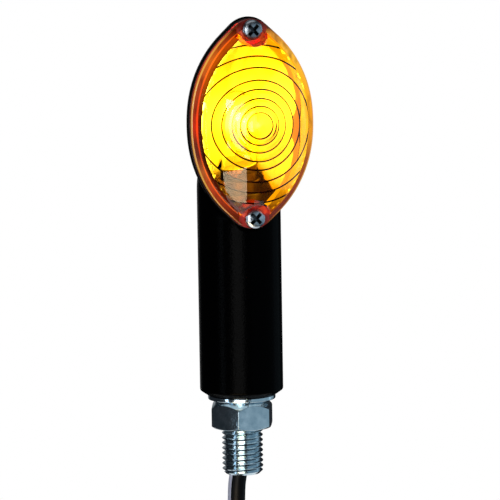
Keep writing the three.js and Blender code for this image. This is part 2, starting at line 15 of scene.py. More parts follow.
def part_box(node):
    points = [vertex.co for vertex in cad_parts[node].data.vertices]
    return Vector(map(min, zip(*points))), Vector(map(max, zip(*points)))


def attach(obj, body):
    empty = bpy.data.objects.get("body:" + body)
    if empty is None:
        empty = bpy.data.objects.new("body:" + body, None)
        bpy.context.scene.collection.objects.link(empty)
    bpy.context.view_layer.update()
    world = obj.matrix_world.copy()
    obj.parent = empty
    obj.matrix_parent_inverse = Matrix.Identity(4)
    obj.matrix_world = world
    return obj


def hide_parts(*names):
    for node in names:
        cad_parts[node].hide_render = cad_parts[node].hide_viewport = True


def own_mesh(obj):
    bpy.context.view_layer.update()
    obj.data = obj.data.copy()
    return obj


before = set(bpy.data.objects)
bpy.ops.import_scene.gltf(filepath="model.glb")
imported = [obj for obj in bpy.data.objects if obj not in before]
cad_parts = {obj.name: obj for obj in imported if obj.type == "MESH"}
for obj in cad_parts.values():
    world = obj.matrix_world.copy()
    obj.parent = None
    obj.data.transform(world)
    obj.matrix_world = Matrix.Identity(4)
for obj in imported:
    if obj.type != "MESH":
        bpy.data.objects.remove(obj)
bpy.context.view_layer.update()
scene = bpy.context.scene

# ---- Camera ----

CAMERA_AZIMUTH = math.radians(-18.03)
CAMERA_ELEVATION = math.radians(7.49)
CAMERA_ROLL = math.radians(0.877)
CAMERA_DISTANCE = 1.1062
CAMERA_LENS = 329.6
SENSOR_WIDTH = 36
AIM_RIGHT = 0.00254
AIM_HEIGHT = 0.03509


def heading(azimuth, elevation):
    """The direction from the object at these angles, in radians; azimuth 0 is in front of the lens."""
    return Vector((math.sin(azimuth) * math.cos(elevation), -math.cos(azimuth) * math.cos(elevation),
                   math.sin(elevation)))


def make_camera():
    back = heading(CAMERA_AZIMUTH, CAMERA_ELEVATION)
    right = Vector((math.cos(CAMERA_AZIMUTH), math.sin(CAMERA_AZIMUTH), 0))
    up = back.cross(right)
    turned_right = right * math.cos(CAMERA_ROLL) - up * math.sin(CAMERA_ROLL)
    turned_up = right * math.sin(CAMERA_ROLL) + up * math.cos(CAMERA_ROLL)
    aim = right * AIM_RIGHT + Vector((0, 0, AIM_HEIGHT))
    camera = bpy.data.objects.new("camera", bpy.data.cameras.new("camera"))
    camera.matrix_world = Matrix.Translation(aim + back * CAMERA_DISTANCE) @ Matrix(
        (turned_right, turned_up, back)).transposed().to_4x4()
    camera.data.lens = CAMERA_LENS
    camera.data.sensor_width = SENSOR_WIDTH
    scene.collection.objects.link(camera)
    scene.camera = camera


make_camera()

# ---- Sizes, in millimetres: the CAD model's, but for the lens's outline, its tips and its thinner walls ----

MM = 0.001
GAP = 0.3
SEAT = 0.05
STEM_RADIUS = 10.1
STEM_CHAMFER = (1.75, 1.2)
STEM_TOP = 50
STEM_DOME = 16
ACROSS = 1.38
ALONG = 2.19
TIP_DEPTH = 4
HEAD_Z = 66.8
HEAD_HALF = (15.6, 25.57)
HEAD_WALL = 1.9
RIM_Y = -9.4
HULL_START_Y = -9.2
HULL_BACK_Y = 10
HULL_POWERS = (1.24, 1.67)
GASKET_THICKNESS = 0.8
FLANGE_BACK_Y = -10.3
FLANGE_FRONT_Y = -11.8
LENS_HALF = (15.35, 25.1)
DOME_HALF = (13.65, 23.2)
CROWN = 8.4
ACROSS_CURVE = 0.0327
ALONG_CURVE = 0.0123
LENS_WALL = 1.3
LENS_SIDE_WALL = 0.65
LENS_TIP_WALL = 1.45
HOLLOW_HALF = (DOME_HALF[0] - LENS_SIDE_WALL, DOME_HALF[1] - LENS_TIP_WALL)
RINGS = (3.1, 4.6, 6.4, 8.5, 10.6, 13.5, 16.1, 18.7)
RING_CENTRE = (-0.5, 67.1)
RING_STEP = 0.45
GROOVE = 0.42
POCKET_RADIUS = 3.5
POCKET_DEPTH = 12
SCREW_OFFSET = 22.55
SCREW_LEVELS = (HEAD_Z + SCREW_OFFSET, HEAD_Z - SCREW_OFFSET)
SCREW_HOLE = 1.5
BOSS_RADIUS = 3
BOSS_LENGTH = 8
BOSS_HOLE = 3.15
WIRE_BORE = 4.5
SOCKET_BORE = 5.8
SOCKET_BORE_BOTTOM = 31
FLANGE_SEAT = (7.7, 46.7)
BULB_CLEARANCE_TOP = 62
REFLECTOR_FOOT = 49.8
REFLECTOR_WALL = 0.9
REFLECTOR_MARGIN = 3.2
STUD_MAJOR = 4.97
STUD_PITCH = 1.25
STUD_BORE = 3.3
STUD_END = -19.5
STUD_TOP = 14
STUD_SHANK = 4.7
NUT_TURN = 6
PIN_Z = 47
FILAMENT_Z = 67
CABLE_RADIUS = 2.125

# ---- Mesh helpers ----


def new_object(name, vertices, faces):
    mesh = bpy.data.meshes.new(name)
    mesh.from_pydata([tuple(map(float, v)) for v in vertices], [], faces)
    made = bpy.data.objects.new(name, mesh)
    scene.collection.objects.link(made)
    tidy_normals(made)
    return made


def tidy_normals(made):
    shape = bmesh.new()
    shape.from_mesh(made.data)
    bmesh.ops.remove_doubles(shape, verts=shape.verts, dist=1e-5)
    bmesh.ops.recalc_face_normals(shape, faces=shape.faces)
    shape.to_mesh(made.data)
    shape.free()


def bake_modifiers(made):
    graph = bpy.context.evaluated_depsgraph_get()
    mesh = bpy.data.meshes.new_from_object(made.evaluated_get(graph))
    made.modifiers.clear()
    made.data = mesh


def combine(made, operation, *tools):
    """Joins, cuts or intersects a shape with the tools, which are used up."""
    for tool in tools:
        modifier = made.modifiers.new("combine", "BOOLEAN")
        modifier.operation = operation
        modifier.solver = "MANIFOLD"
        modifier.object = tool
        bake_modifiers(made)
        bpy.data.objects.remove(tool)
    return made


def cut(made, *tools):
    return combine(made, "DIFFERENCE", *tools)


def join(made, *tools):
    return combine(made, "UNION", *tools)


def bevel(made, width, segments=2, angle=35):
    modifier = made.modifiers.new("bevel", "BEVEL")
    modifier.width = width
    modifier.segments = segments
    modifier.limit_method = "ANGLE"
    modifier.angle_limit = math.radians(angle)
    modifier.harden_normals = False
    bake_modifiers(made)
    return made


def settle(made, material, body, stands_for=(), sharp=32):
    """Turns the shape into metres, shades it, and puts it on its body."""
    made.data.transform(Matrix.Scale(MM, 4))
    finishes = material if isinstance(material, list) else [material]
    marks = [face.material_index for face in made.data.polygons]
    made.data.materials.clear()
    for finish in finishes:
        made.data.materials.append(finish)
    made.data.polygons.foreach_set("material_index", marks)
    made.data.polygons.foreach_set("use_smooth", [True] * len(made.data.polygons))
    made.data.set_sharp_from_angle(angle=math.radians(sharp))
    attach(made, body)
    if stands_for:
        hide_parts(*stands_for)
    return made


def rounded(profile, radius, steps=4):
    """A profile of (radius, z) points with an arc in place of each corner; points on the axis stay."""
    closed = profile[0][0] > 0
    count = len(profile)
    made = []
    for i, corner in enumerate(profile):
        if corner[0] == 0 or (not closed and i in (0, count - 1)):
            made.append(corner)
            continue
        here = np.array(corner, float)
        before, after = (np.array(profile[(i + step) % count], float) - here for step in (-1, 1))
        lengths = np.linalg.norm(before), np.linalg.norm(after)
        before, after = before / lengths[0], after / lengths[1]
        half = math.acos(max(-1, min(1, before @ after))) / 2
        if half > 1.5:
            made.append(corner)
            continue
        reach = min(radius / math.tan(half), 0.45 * min(lengths))
        start, end = here + before * reach, here + after * reach
        for share in np.linspace(0, 1, steps + 1):
            blend = (1 - share) ** 2 * start + 2 * share * (1 - share) * here + share**2 * end
            made.append(tuple(blend))
    return made


def revolve(name, profile, segments=96):
    """A closed solid of revolution about Z; the profile starts and ends on the axis, or is a closed loop."""
    turn = np.linspace(0, 2 * np.pi, segments, endpoint=False)
    vertices, rows = [], []
    for radius, z in profile:
        start = len(vertices)
        if radius == 0:
            rows.append([start] * segments)
            vertices.append((0, 0, z))
        else:
            rows.append(list(range(start, start + segments)))
            vertices.extend((radius * math.cos(a), radius * math.sin(a), z) for a in turn)
    pairs = list(zip(rows, rows[1:]))
    if profile[0][0] > 0:
        pairs.append((rows[-1], rows[0]))
    faces = []
    for low, high in pairs:
        for i in range(segments):
            j = (i + 1) % segments
            face = list(dict.fromkeys([low[i], low[j], high[j], high[i]]))
            if len(face) > 2:
                faces.append(face)
    return new_object(name, vertices, faces)


def lathe_piece(name, profile, material, body, node, corner=0.15, segments=72, at=(0, 0)):
    """A turned piece with rounded corners whose axis stands at a point."""
    made = shift(revolve(name, rounded(profile, corner), segments), *at)
    return settle(made, material, body, (node,))


def disc(radius, bottom, top, segments=64):
    return revolve("tool", [(0, bottom), (radius, bottom), (radius, top), (0, top)], segments)


def loft(name, rings):
    """A closed skin through rings of equally many points, with a flat fan on each end."""
    count = len(rings[0])
    vertices = [point for ring in rings for point in ring]
    faces = []
    for row in range(len(rings) - 1):
        for i in range(count):
            a, b = row * count + i, row * count + (i + 1) % count
            faces.append([a, b, b + count, a + count])
    for ring, first in ((rings[0], 0), (rings[-1], (len(rings) - 1) * count)):
        centre = len(vertices)
        vertices.append(tuple(np.mean(np.array(ring), axis=0)))
        faces.extend([centre, first + i, first + (i + 1) % count] for i in range(count))
    return new_object(name, vertices, faces)


def block(x, y, z):
    corners = [(x[i], y[j]) for i, j in ((0, 0), (1, 0), (1, 1), (0, 1))]
    return loft("tool", [[(a, b, level) for a, b in corners] for level in z])


def facing_lens(made, z, y):
    """Lays a shape made about Z along -Y at a height and depth."""
    made.data.transform(Matrix.Translation((0, y, z)) @ Matrix.Rotation(math.pi / 2, 4, "X"))
    return made


def spin(made, degrees, axis="Z"):
    made.data.transform(Matrix.Rotation(math.radians(degrees), 4, axis))
    return made


def shift(made, x=0, y=0, z=0):
    made.data.transform(Matrix.Translation((x, y, z)))
    return made


def arc(radius, start, end, count):
    """Points of a circle about the origin, from one angle in degrees to another."""
    return [(radius * math.cos(a), radius * math.sin(a)) for a in np.radians(np.linspace(start, end, count))]


def screw_discs(radius, length, back):
    """Discs round the axes of both lens screws, from a depth forwards."""
    return [facing_lens(disc(radius, 0, length), z, back) for z in SCREW_LEVELS]


# ---- The cat-eye outline and what follows it ----


def outline_share(x, z, half):
    """Under 1 inside the outline of that half width and height, 1 on it and more outside."""
    return (abs(x) / half[0]) ** ACROSS + (abs(z - HEAD_Z) / half[1]) ** ALONG


def cat_eye(half, count=160):
    """The outline's (x, z) points: outline_share() is 1, but for straight flanks that run to round tips."""
    width, height = half
    straight = TIP_DEPTH * height / HEAD_HALF[1]
    level = (1 - straight / height) ** ALONG
    slope = width * ALONG / (ACROSS * height) * (1 - level) ** (1 / ACROSS - 1) * level ** (1 - 1 / ALONG)
    start = width * (1 - level) ** (1 / ACROSS) - slope * straight
    steep = math.hypot(1, slope)
    radius = start / (steep - slope)
    made = []
    for angle in np.linspace(0, 2 * np.pi, count, endpoint=False):
        c, s = math.cos(angle), math.sin(angle)
        z = height * abs(s) ** (2 / ALONG)
        x = width * abs(c) ** (2 / ACROSS)
        below = height - z
        if below < radius * (1 - slope / steep):
            x = math.sqrt(max(0, 2 * radius * below - below**2))
        elif below < straight:
            x = start + slope * below
        made.append((math.copysign(x, c), HEAD_Z + math.copysign(z, s)))
    return made


def cat_eye_plate(name, half, back, front, edge=0.0, count=160):
    """A plate on the outline from back to front, its front edge rounded by that much."""
    levels = [(0.0, back), (0.0, front + edge)]
    if edge:
        levels += [(edge * (1 - math.sqrt(1 - share**2)), front + edge * (1 - share))
                   for share in (0.3, 0.6, 0.85, 1.0)]
    return loft(name, [[(x, y, z) for x, z in cat_eye((half[0] - inset, half[1] - inset), count)]
                       for inset, y in levels])


def hull(name, half, front, back, steps=26):
    """A boat-shaped hull: the outline at the front, closing in behind."""
    rings = [[(x, front, z) for x, z in cat_eye(half)]]
    for depth in np.linspace(0, 0.985, steps):
        width, height = (size * math.sqrt(1 - depth**power) for size, power in zip(half, HULL_POWERS))
        y = HULL_START_Y + depth * (back - HULL_START_Y)
        rings.append([(x, y, z) for x, z in cat_eye((width, height))])
    return loft(name, rings)


def crown_height(x, z):
    return CROWN - ACROSS_CURVE * x**2 - ALONG_CURVE * (z - HEAD_Z) ** 2


# ---- Materials ----


class Shader:
    """A material's node tree with short calls for what the materials below share."""

    def __init__(self, name, **values):
        self.material = bpy.data.materials.new(name)
        self.material.use_nodes = True
        self.tree = self.material.node_tree
        self.surface = self.tree.nodes["Principled BSDF"]
        self.output = self.tree.nodes["Material Output"]
        self.place = self.node("ShaderNodeTexCoord").outputs["Object"]
        for socket, value in values.items():
            self.surface.inputs[socket.replace("_", " ")].default_value = value

    def put(self, socket, value):
        if isinstance(value, bpy.types.NodeSocket):
            self.tree.links.new(value, socket)
        else:
            socket.default_value = value

    def node(self, kind, **inputs):
        """A new node; i0 is its first input, and other names are those of its sockets."""
        made = self.tree.nodes.new(kind)
        for socket, value in inputs.items():
            key = int(socket[1:]) if socket[0] == "i" and socket[1:].isdigit() else socket.replace("_", " ")
            self.put(made.inputs[key], value)
        return made

    def noise(self, scale, detail=3.0, stretch=(1, 1, 1)):
        """Noise whose grains are about 1 / scale metres across."""
        spot = self.node("ShaderNodeMapping", Vector=self.place, Scale=stretch)
        return self.node("ShaderNodeTexNoise", Vector=spot.outputs[0], Scale=scale, Detail=detail).outputs[0]

    def ramp(self, factor, *stops, smooth=False):
        made = self.node("ShaderNodeValToRGB", Fac=factor)
        made.color_ramp.interpolation = "EASE" if smooth else "LINEAR"
        elements = made.color_ramp.elements
        while len(elements) < len(stops):
            elements.new(0.5)
        for element, (position, colour) in zip(elements, stops):
            element.position = position
            element.color = (*colour, 1) if isinstance(colour, tuple) else (colour, colour, colour, 1)
        return made.outputs[0]

    def math(self, operation, a, b=0.0):
        made = self.tree.nodes.new("ShaderNodeMath")
        made.operation = operation
        for socket, value in zip(made.inputs, (a, b)):
            self.put(socket, value)
        return made.outputs[0]

    def axis(self, letter):
        return self.node("ShaderNodeSeparateXYZ", Vector=self.place).outputs[letter]

    def distance(self, point, place=None):
        """How far the shaded place is from a point in millimetres; the result is in metres."""
        far = self.node("ShaderNodeVectorMath", i0=self.place if place is None else place)
        far.operation = "DISTANCE"
        far.inputs[1].default_value = [value * MM for value in point]
        return far.outputs["Value"]

    def up_lens(self):
        """0 at the lens's lower tip, 1 at its upper tip."""
        return self.span(self.axis("Z"), HEAD_Z - LENS_HALF[1], HEAD_Z + LENS_HALF[1])

    def span(self, value, low, high):
        """0 at low, 1 at high, in millimetres."""
        made = self.node("ShaderNodeMapRange", Value=value, From_Min=low * MM, From_Max=high * MM)
        return made.outputs[0]

    def mix(self, factor, a, b, blend="MIX"):
        made = self.tree.nodes.new("ShaderNodeMix")
        made.data_type = "RGBA"
        made.blend_type = blend
        for key, value in ((0, factor), (6, a), (7, b)):
            self.put(made.inputs[key], (*value, 1) if isinstance(value, tuple) else value)
        return made.outputs[2]

    def feed(self, socket, value):
        self.tree.links.new(value, self.surface.inputs[socket])

    def vary(self, socket, scale, detail, low, high, stretch=(1, 1, 1)):
        """Feeds a socket with noise that runs from one stop to another."""
        self.feed(socket, self.ramp(self.noise(scale, detail, stretch), low, high))

    def bump(self, height, strength, distance):
        made = self.node("ShaderNodeBump", Height=height, Strength=strength, Distance=distance)
        self.feed("Normal", made.outputs[0])

    def grain(self, scale, detail, strength, distance=0.00005):
        self.bump(self.noise(scale, detail), strength, distance)

    def absorb_amber(self):
        """Fills the inside with the amber plastic's colour."""
        volume = self.node("ShaderNodeVolumeAbsorption", Color=AMBER_ABSORPTION, Density=AMBER_DENSITY)
        self.tree.links.new(volume.outputs[0], self.output.inputs["Volume"])


def black_paint():
    made = Shader("black_paint", Specular_IOR_Level=0.014)
    made.grain(1900, 3, 1.0)
    made.vary("Roughness", 900, 5, (0.3, 0.17), (0.7, 0.25))
    made.vary("Base Color", 2600, 2, (0.35, (0.0002, 0.0002, 0.0003)), (0.75, (0.0008, 0.0008, 0.001)))
    return made.material


def plated(name, dark, bright, roughness, pits=0.25):
    made = Shader(name, Metallic=1.0)
    made.vary("Base Color", 420, 4, (0.3, dark), (0.7, bright))
    made.vary("Roughness", 1500, 4, (0.3, roughness * 0.75), (0.75, roughness * 1.35), (1, 1, 9))
    made.grain(1700, 5, pits, 0.00004)
    return made.material


def moulded(name, colour, roughness, grain=0.2, scale=2200, specular=0.4):
    made = Shader(name, Specular_IOR_Level=specular)
    darker = tuple(channel * 0.72 for channel in colour)
    made.vary("Base Color", 500, 4, (0.3, darker), (0.7, colour))
    made.vary("Roughness", 1200, 3, (0.3, roughness * 0.85), (0.7, roughness * 1.15))
    made.grain(scale, 4, grain)
    return made.material


AMBER_ABSORPTION = (1.0, 0.86, 0.0, 1)
AMBER_DENSITY = 3000
RING_SWELL = 0.08
SWELLS = 4


def amber_shader(name, colour, roughness, clear=0.0, specular=0.25, glow=1.0):
    return Shader(name, Base_Color=(*colour, 1), Roughness=roughness, IOR=1.49, Transmission_Weight=clear,
                  Specular_IOR_Level=specular, Emission_Strength=glow)


def amber():
    """The clear plastic, with a soft swell between each two of the inner rings."""
    made = Shader("amber_lens", Base_Color=(1, 1, 1, 1), Roughness=0.02, IOR=1.49, Transmission_Weight=1.0,
                  Specular_IOR_Level=0.5)
    made.absorb_amber()
    flat = made.node("ShaderNodeVectorMath", i0=made.place)
    flat.operation = "MULTIPLY"
    flat.inputs[1].default_value = (1, 0, 1)
    far = made.distance((RING_CENTRE[0], 0, RING_CENTRE[1]), flat.outputs[0])
    reach = RINGS[SWELLS]
    edges = (0.0, *RINGS[:SWELLS])
    waves = [(ring / reach, 0.0) for ring in edges]
    waves += [((a + b) / 2 / reach, 1.0) for a, b in zip(edges, edges[1:])]
    swell = made.ramp(made.span(far, 0, reach), *sorted(waves), smooth=True)
    made.bump(swell, 1.0, RING_SWELL * MM)
    return made.material


def amber_groove_painted_shade():
    """The foot of each ring step, painted dark as shade in place of the clear plastic."""
    made = Shader("amber_groove_painted_shade", Roughness=0.5, IOR=1.49, Specular_IOR_Level=0.1)
    made.vary("Base Color", 300, 3, (0.35, (0.02, 0.004, 0.0)), (0.65, (0.002, 0.001, 0.0)))
    made.absorb_amber()
    return made.material


def amber_flange():
    """The lens's flat border, painted as if edge-lit by the lamp through the moulding."""
    made = amber_shader("amber_flange", (0.5, 0.06, 0.005), 0.1, 0.8, glow=0.75)
    up = made.up_lens()
    left = made.ramp(up, (0.0, (0.02, 0.002, 0.001)), (0.06, (0.08, 0.01, 0.004)), (0.12, (0.26, 0.03, 0.01)),
                     (0.2, (0.5, 0.06, 0.02)), (0.28, (0.5, 0.13, 0.03)), (0.36, (0.12, 0.025, 0.02)),
                     (0.42, (0.15, 0.025, 0.015)), (0.5, (0.7, 0.03, 0.012)), (0.58, (0.3, 0.03, 0.012)),
                     (0.68, (0.48, 0.07, 0.02)), (0.81, (0.75, 0.17, 0.015)), (0.9, (0.35, 0.05, 0.008)),
                     (0.95, (0.02, 0.001, 0.0)))
    right = made.ramp(up, (0.0, (0.02, 0.002, 0.001)), (0.06, (0.1, 0.01, 0.003)), (0.2, (0.28, 0.05, 0.01)),
                      (0.32, (0.35, 0.1, 0.01)), (0.42, (0.9, 0.36, 0.005)), (0.6, (1.15, 0.52, 0.0)),
                      (0.75, (1.2, 0.62, 0.02)), (0.85, (1.2, 0.65, 0.04)), (0.92, (1.0, 0.42, 0.02)),
                      (0.955, (0.03, 0.002, 0.001)))
    side = made.span(made.axis("X"), -1.5, 1.5)
    streaks = made.ramp(made.noise(500, 3, (1, 1, 0.4)), (0.34, 0.45), (0.52, 1.0))
    made.feed("Emission Color", made.mix(streaks, (0.05, 0.006, 0.004), made.mix(side, left, right)))
    made.grain(700, 2, 0.03)
    made.absorb_amber()
    return made.material


def amber_wall():
    """The inside of the dome's side wall, with the lamp's light painted on it: painted shade on the left, a
    painted glow on the right.
    """
    made = amber_shader("amber_wall", (0.04, 0.008, 0.002), 0.35, specular=0.15)
    x, y, z = (made.axis(letter) for letter in "XYZ")
    glow = made.ramp(made.span(x, -11, 11), (0.0, (0.02, 0.003, 0.001)), (0.3, (0.08, 0.008, 0.003)),
                     (0.48, (0.3, 0.03, 0.01)), (0.6, (1.1, 0.7, 0.02)), (1.0, (1.7, 1.35, 0.03)))
    patches = made.ramp(made.noise(420, 2), (0.38, 0.8), (0.6, 1.0))
    level = made.span(z, 46, 54)
    # A painted orange glow on the left wall near the flange.
    near_flange = made.math("MULTIPLY", made.span(y, -14.5, -12.5), made.span(z, 68, 78))
    on_left = made.math("MULTIPLY", near_flange, made.span(made.math("MULTIPLY", x, -1.0), 0, 3))
    glow = made.mix(on_left, glow, (0.5, 0.13, 0.01))
    # The painted glow dims in noise patches and fades to painted shade from z 54 mm down to 46 mm.
    made.feed("Emission Color", made.mix(made.math("MULTIPLY", patches, level), (0.06, 0.006, 0.002), glow))
    return made.material


def amber_edge():
    """The flange's rounded front edge, with a painted glow where the light that runs in the moulding would
    come out.
    """
    made = amber_shader("amber_edge", (0.6, 0.2, 0.04), 0.15, 0.7)
    up = made.up_lens()
    glow = made.ramp(up, (0.025, (0.01, 0.001, 0.0)), (0.07, (0.3, 0.1, 0.01)), (0.25, (0.5, 0.28, 0.04)),
                     (0.5, (0.6, 0.28, 0.06)), (0.8, (0.7, 0.36, 0.05)), (0.9, (0.6, 0.25, 0.03)),
                     (0.95, (0.01, 0.001, 0.0)))
    made.feed("Emission Color", glow)
    made.absorb_amber()
    return made.material


def amber_pocket():
    """The round pockets in which the screw heads sit, with a painted deep red glow low down."""
    made = amber_shader("amber_pocket", (0.3, 0.02, 0.01), 0.15, 0.5)
    patches = made.ramp(made.noise(500, 2), (0.38, 0.15), (0.62, 1.0))
    up = made.up_lens()
    glow = made.ramp(up, (0.0, (0.12, 0.006, 0.005)), (0.05, (0.3, 0.015, 0.01)), (0.88, (0.25, 0.04, 0.01)),
                     (0.95, (0.15, 0.015, 0.005)), (0.97, (0.01, 0.001, 0.001)))
    made.feed("Emission Color", made.mix(patches, (0.03, 0.003, 0.002), glow))
    made.absorb_amber()
    return made.material


def lit_mirror():
    """The reflector's metal coat, with the lamp's light painted on it and the socket's shadow left dark."""
    made = Shader("mirror_coat", Metallic=1.0, Roughness=0.36, Emission_Strength=1.0)
    x, z = made.axis("X"), made.axis("Z")
    slant = made.math("ADD", z, made.math("MULTIPLY", x, 0.65))
    lift = made.ramp(made.span(slant, 45, 54), (0.0, 0.0), (0.4, 0.03), (0.75, 0.85), (1.0, 1.0), smooth=True)
    edge = made.ramp(made.span(z, 46, 56), (0.35, 0.7), (0.38, 0.62), (0.52, 0.62), (0.55, 0.56))
    clear = made.math("SUBTRACT", x, made.math("MULTIPLY", edge, 0.01))
    open_side = made.math("MAXIMUM", made.span(clear, -0.2, 0.2), made.span(z, 52.6, 53))
    lift = made.math("MULTIPLY", lift, open_side)
    coat = made.ramp(made.noise(300, 4), (0.3, (0.46, 0.44, 0.4)), (0.7, (0.6, 0.58, 0.54)))
    made.feed("Base Color", made.mix(lift, (0.05, 0.025, 0.015), coat))
    far = made.distance((0, 0, FILAMENT_Z))
    glow = made.ramp(made.span(far, 7, 24), (0.0, (1.25, 1.2, 0.3)), (0.35, (1.1, 0.88, 0.15)),
                     (0.65, (1.0, 0.42, 0.05)), (1.0, (0.85, 0.26, 0.02)))
    made.feed("Emission Color", made.mix(lift, (0.012, 0.006, 0.002), glow))
    made.grain(900, 2, 0.05)
    return made.material


def clear_glass():
    """The bulb's glass, with a painted halo round the burning filament and a faint painted glow low down."""
    made = Shader("bulb_glass", Base_Color=(1, 1, 1, 1), Roughness=0.01, IOR=1.2, Transmission_Weight=1.0,
                  Emission_Strength=1.0)
    far = made.distance((0, 0, FILAMENT_Z))
    halo = made.ramp(made.span(far, 4.3, 6.5), (0.0, (5.0, 5.0, 2.5)), (0.3, (1.5, 1.5, 0.8)),
                     (0.6, (0.2, 0.2, 0.1)), (1.0, (0.0, 0.0, 0.0)))
    height = made.span(made.axis("Z"), 54, 61)
    low = made.ramp(height, (0.0, (0.35, 0.3, 0.1)), (0.6, (0.45, 0.42, 0.1)), (1.0, 0.0))
    made.feed("Emission Color", made.mix(1.0, halo, low, "ADD"))
    made.grain(200, 1, 0.02)
    return made.material


def gasket_rubber():
    """Black rubber, with a painted glow where it shows through the lens inside the flange."""
    made = Shader("gasket_rubber", Roughness=0.72, Specular_IOR_Level=0.25, Emission_Strength=1.0)
    made.vary("Base Color", 500, 4, (0.3, 0.012), (0.7, 0.02))
    across = made.math("DIVIDE", made.math("ABSOLUTE", made.axis("X")), DOME_HALF[0] * MM)
    height = made.math("ABSOLUTE", made.math("SUBTRACT", made.axis("Z"), HEAD_Z * MM))
    along = made.math("DIVIDE", height, DOME_HALF[1] * MM)
    shape = made.math("ADD", made.math("POWER", across, ACROSS), made.math("POWER", along, ALONG))
    inside = made.math("LESS_THAN", shape, 1.0)
    made.feed("Emission Color", made.mix(inside, (0.0, 0.0, 0.0), (1.2, 0.8, 0.05)))
    made.grain(2200, 4, 0.4)
    return made.material


def hot_tungsten():
    made = Shader("tungsten", Metallic=1.0, Roughness=0.4, Emission_Strength=12.0)
    made.vary("Base Color", 900, 2, (0.3, (0.5, 0.45, 0.4)), (0.7, (0.8, 0.75, 0.7)))
    warmth = made.span(made.axis("Z"), FILAMENT_Z - 4, FILAMENT_Z - 0.6)
    made.feed("Emission Color", made.mix(warmth, (0.0, 0.0, 0.0), (1.0, 0.82, 0.5)))
    return made.material


def clear_vinyl():
    made = Shader("clear_vinyl", Roughness=0.3, IOR=1.5, Transmission_Weight=0.55)
    made.vary("Base Color", 600, 3, (0.3, (0.72, 0.72, 0.69)), (0.7, (0.85, 0.85, 0.82)))
    made.grain(1500, 3, 0.1)
    return made.material


PAINT = black_paint()
ZINC = plated("zinc_plate", (0.4, 0.53, 0.6), (0.7, 0.8, 0.86), 0.15, 1.0)
CHROME = plated("screw_steel", (0.16, 0.2, 0.24), (0.6, 0.66, 0.72), 0.26, 0.9)
# The screw recesses get a much darker steel than the heads: painted shade in the cross.
RECESS_SHADE = plated("screw_recess_painted_shade", (0.02, 0.025, 0.03), (0.12, 0.14, 0.16), 0.3, 0.6)
# The nickel plating is darkened far below its own colour: painted shade for the socket and bulb cap inside
# the lamp.
SHADED_NICKEL = plated("nickel_plate", (0.16, 0.13, 0.1), (0.28, 0.24, 0.2), 0.4)
BRASS = plated("brass", (0.55, 0.37, 0.13), (0.78, 0.56, 0.24), 0.26)
SPRING_STEEL = plated("spring_steel", (0.3, 0.31, 0.33), (0.5, 0.51, 0.53), 0.22)
SOLDER = plated("solder", (0.45, 0.46, 0.48), (0.66, 0.67, 0.69), 0.35, 0.5)
GASKET_RUBBER = gasket_rubber()
RUBBER = moulded("rubber", (0.018, 0.018, 0.018), 0.72, 0.4, specular=0.25)
FIBRE = moulded("fibre_board", (0.26, 0.1, 0.045), 0.7, 0.5, 1500)
BLACK_VINYL = moulded("black_vinyl", (0.0025, 0.0025, 0.003), 0.38, 0.15, specular=0.08)
# The lead's pale strip is a painted highlight along its edge.
PAINTED_HIGHLIGHT_VINYL = moulded("painted_highlight_vinyl", (0.7, 0.7, 0.85), 0.45, 0.15)
BLUE_VINYL = moulded("blue_vinyl", (0.03, 0.09, 0.42), 0.4, 0.15)
TIE_NYLON = moulded("tie_nylon", (0.012, 0.012, 0.013), 0.35, 0.2)
AMBER = amber()
GROOVE_AMBER = amber_groove_painted_shade()
FLANGE_AMBER = amber_flange()
EDGE_AMBER = amber_edge()
WALL_AMBER = amber_wall()
POCKET_AMBER = amber_pocket()
MIRROR = lit_mirror()
GLASS = clear_glass()
TUNGSTEN = hot_tungsten()
CLEAR_VINYL = clear_vinyl()

# ---- The lead ----

RUN_X = 12.75
LAYER_Y = 2.2
TOP_ARC_Z = -62
BOTTOM_ARC_Z = -100
TAIL_X = -6
HANK_END_Z = -115.2
TAIL_RADIUS = 1.05
TAIL_SPREAD = 3.2
TAIL_ROUTE = ((1.2, -115.5), (1.35, -117.5), (2.3, -122.5), (3.1, -127), (TAIL_SPREAD, -130))
SLEEVE_PROFILE = [(1.0, -140.05), (2.3, -140.05), (2.3, -132.6), (1.4, -130.05), (1.12, -130.05),
                  (1.12, -139.0), (1.0, -139.0)]
BULLET_PROFILE = [(0, -149.1), (1.1, -149.1), (1.95, -147.9), (1.95, -145.7), (1.35, -144.7), (1.35, -143.5),
                  (1.95, -142.5), (1.95, -140.1), (0, -140.1)]
LEAD_START = [(-0.3, 0, 2), (-0.6, 0, -8), (-1.02, 0, -18), (-1.6, 0, -22.5), (-1.7, 0.5, -29),
              (-1.6, 1.8, -38), (-1.5, LAYER_Y, -45)]


def lead_route():
    """The lead's centreline: down out of the stud, then one and a half turns of a flat hank."""
    points = list(LEAD_START)
    points += [(-2.2, LAYER_Y, -50), (-6.9, LAYER_Y, -59), (-11.6, LAYER_Y, -68), (-RUN_X, LAYER_Y, -74)]
    points += [(-RUN_X, LAYER_Y, -83), (-RUN_X, LAYER_Y, -92)]
    points += [(x, LAYER_Y, BOTTOM_ARC_Z + z) for x, z in arc(RUN_X, 180, 360, 13)]
    for share in (0.2, 0.4, 0.6, 0.8):
        rise = BOTTOM_ARC_Z + share * (TOP_ARC_Z - BOTTOM_ARC_Z)
        points.append((RUN_X, LAYER_Y * math.cos(math.pi * share), rise))
    points += [(x, -LAYER_Y, TOP_ARC_Z + z) for x, z in arc(RUN_X, 0, 180, 13)]
    points += [(-RUN_X, -LAYER_Y, -71), (-RUN_X, -LAYER_Y, -80), (-12.5, -LAYER_Y, -88)]
    points += [(-9.4, -LAYER_Y, -99), (-6.5, -LAYER_Y, -108), (TAIL_X, -LAYER_Y, HANK_END_Z)]
    return points


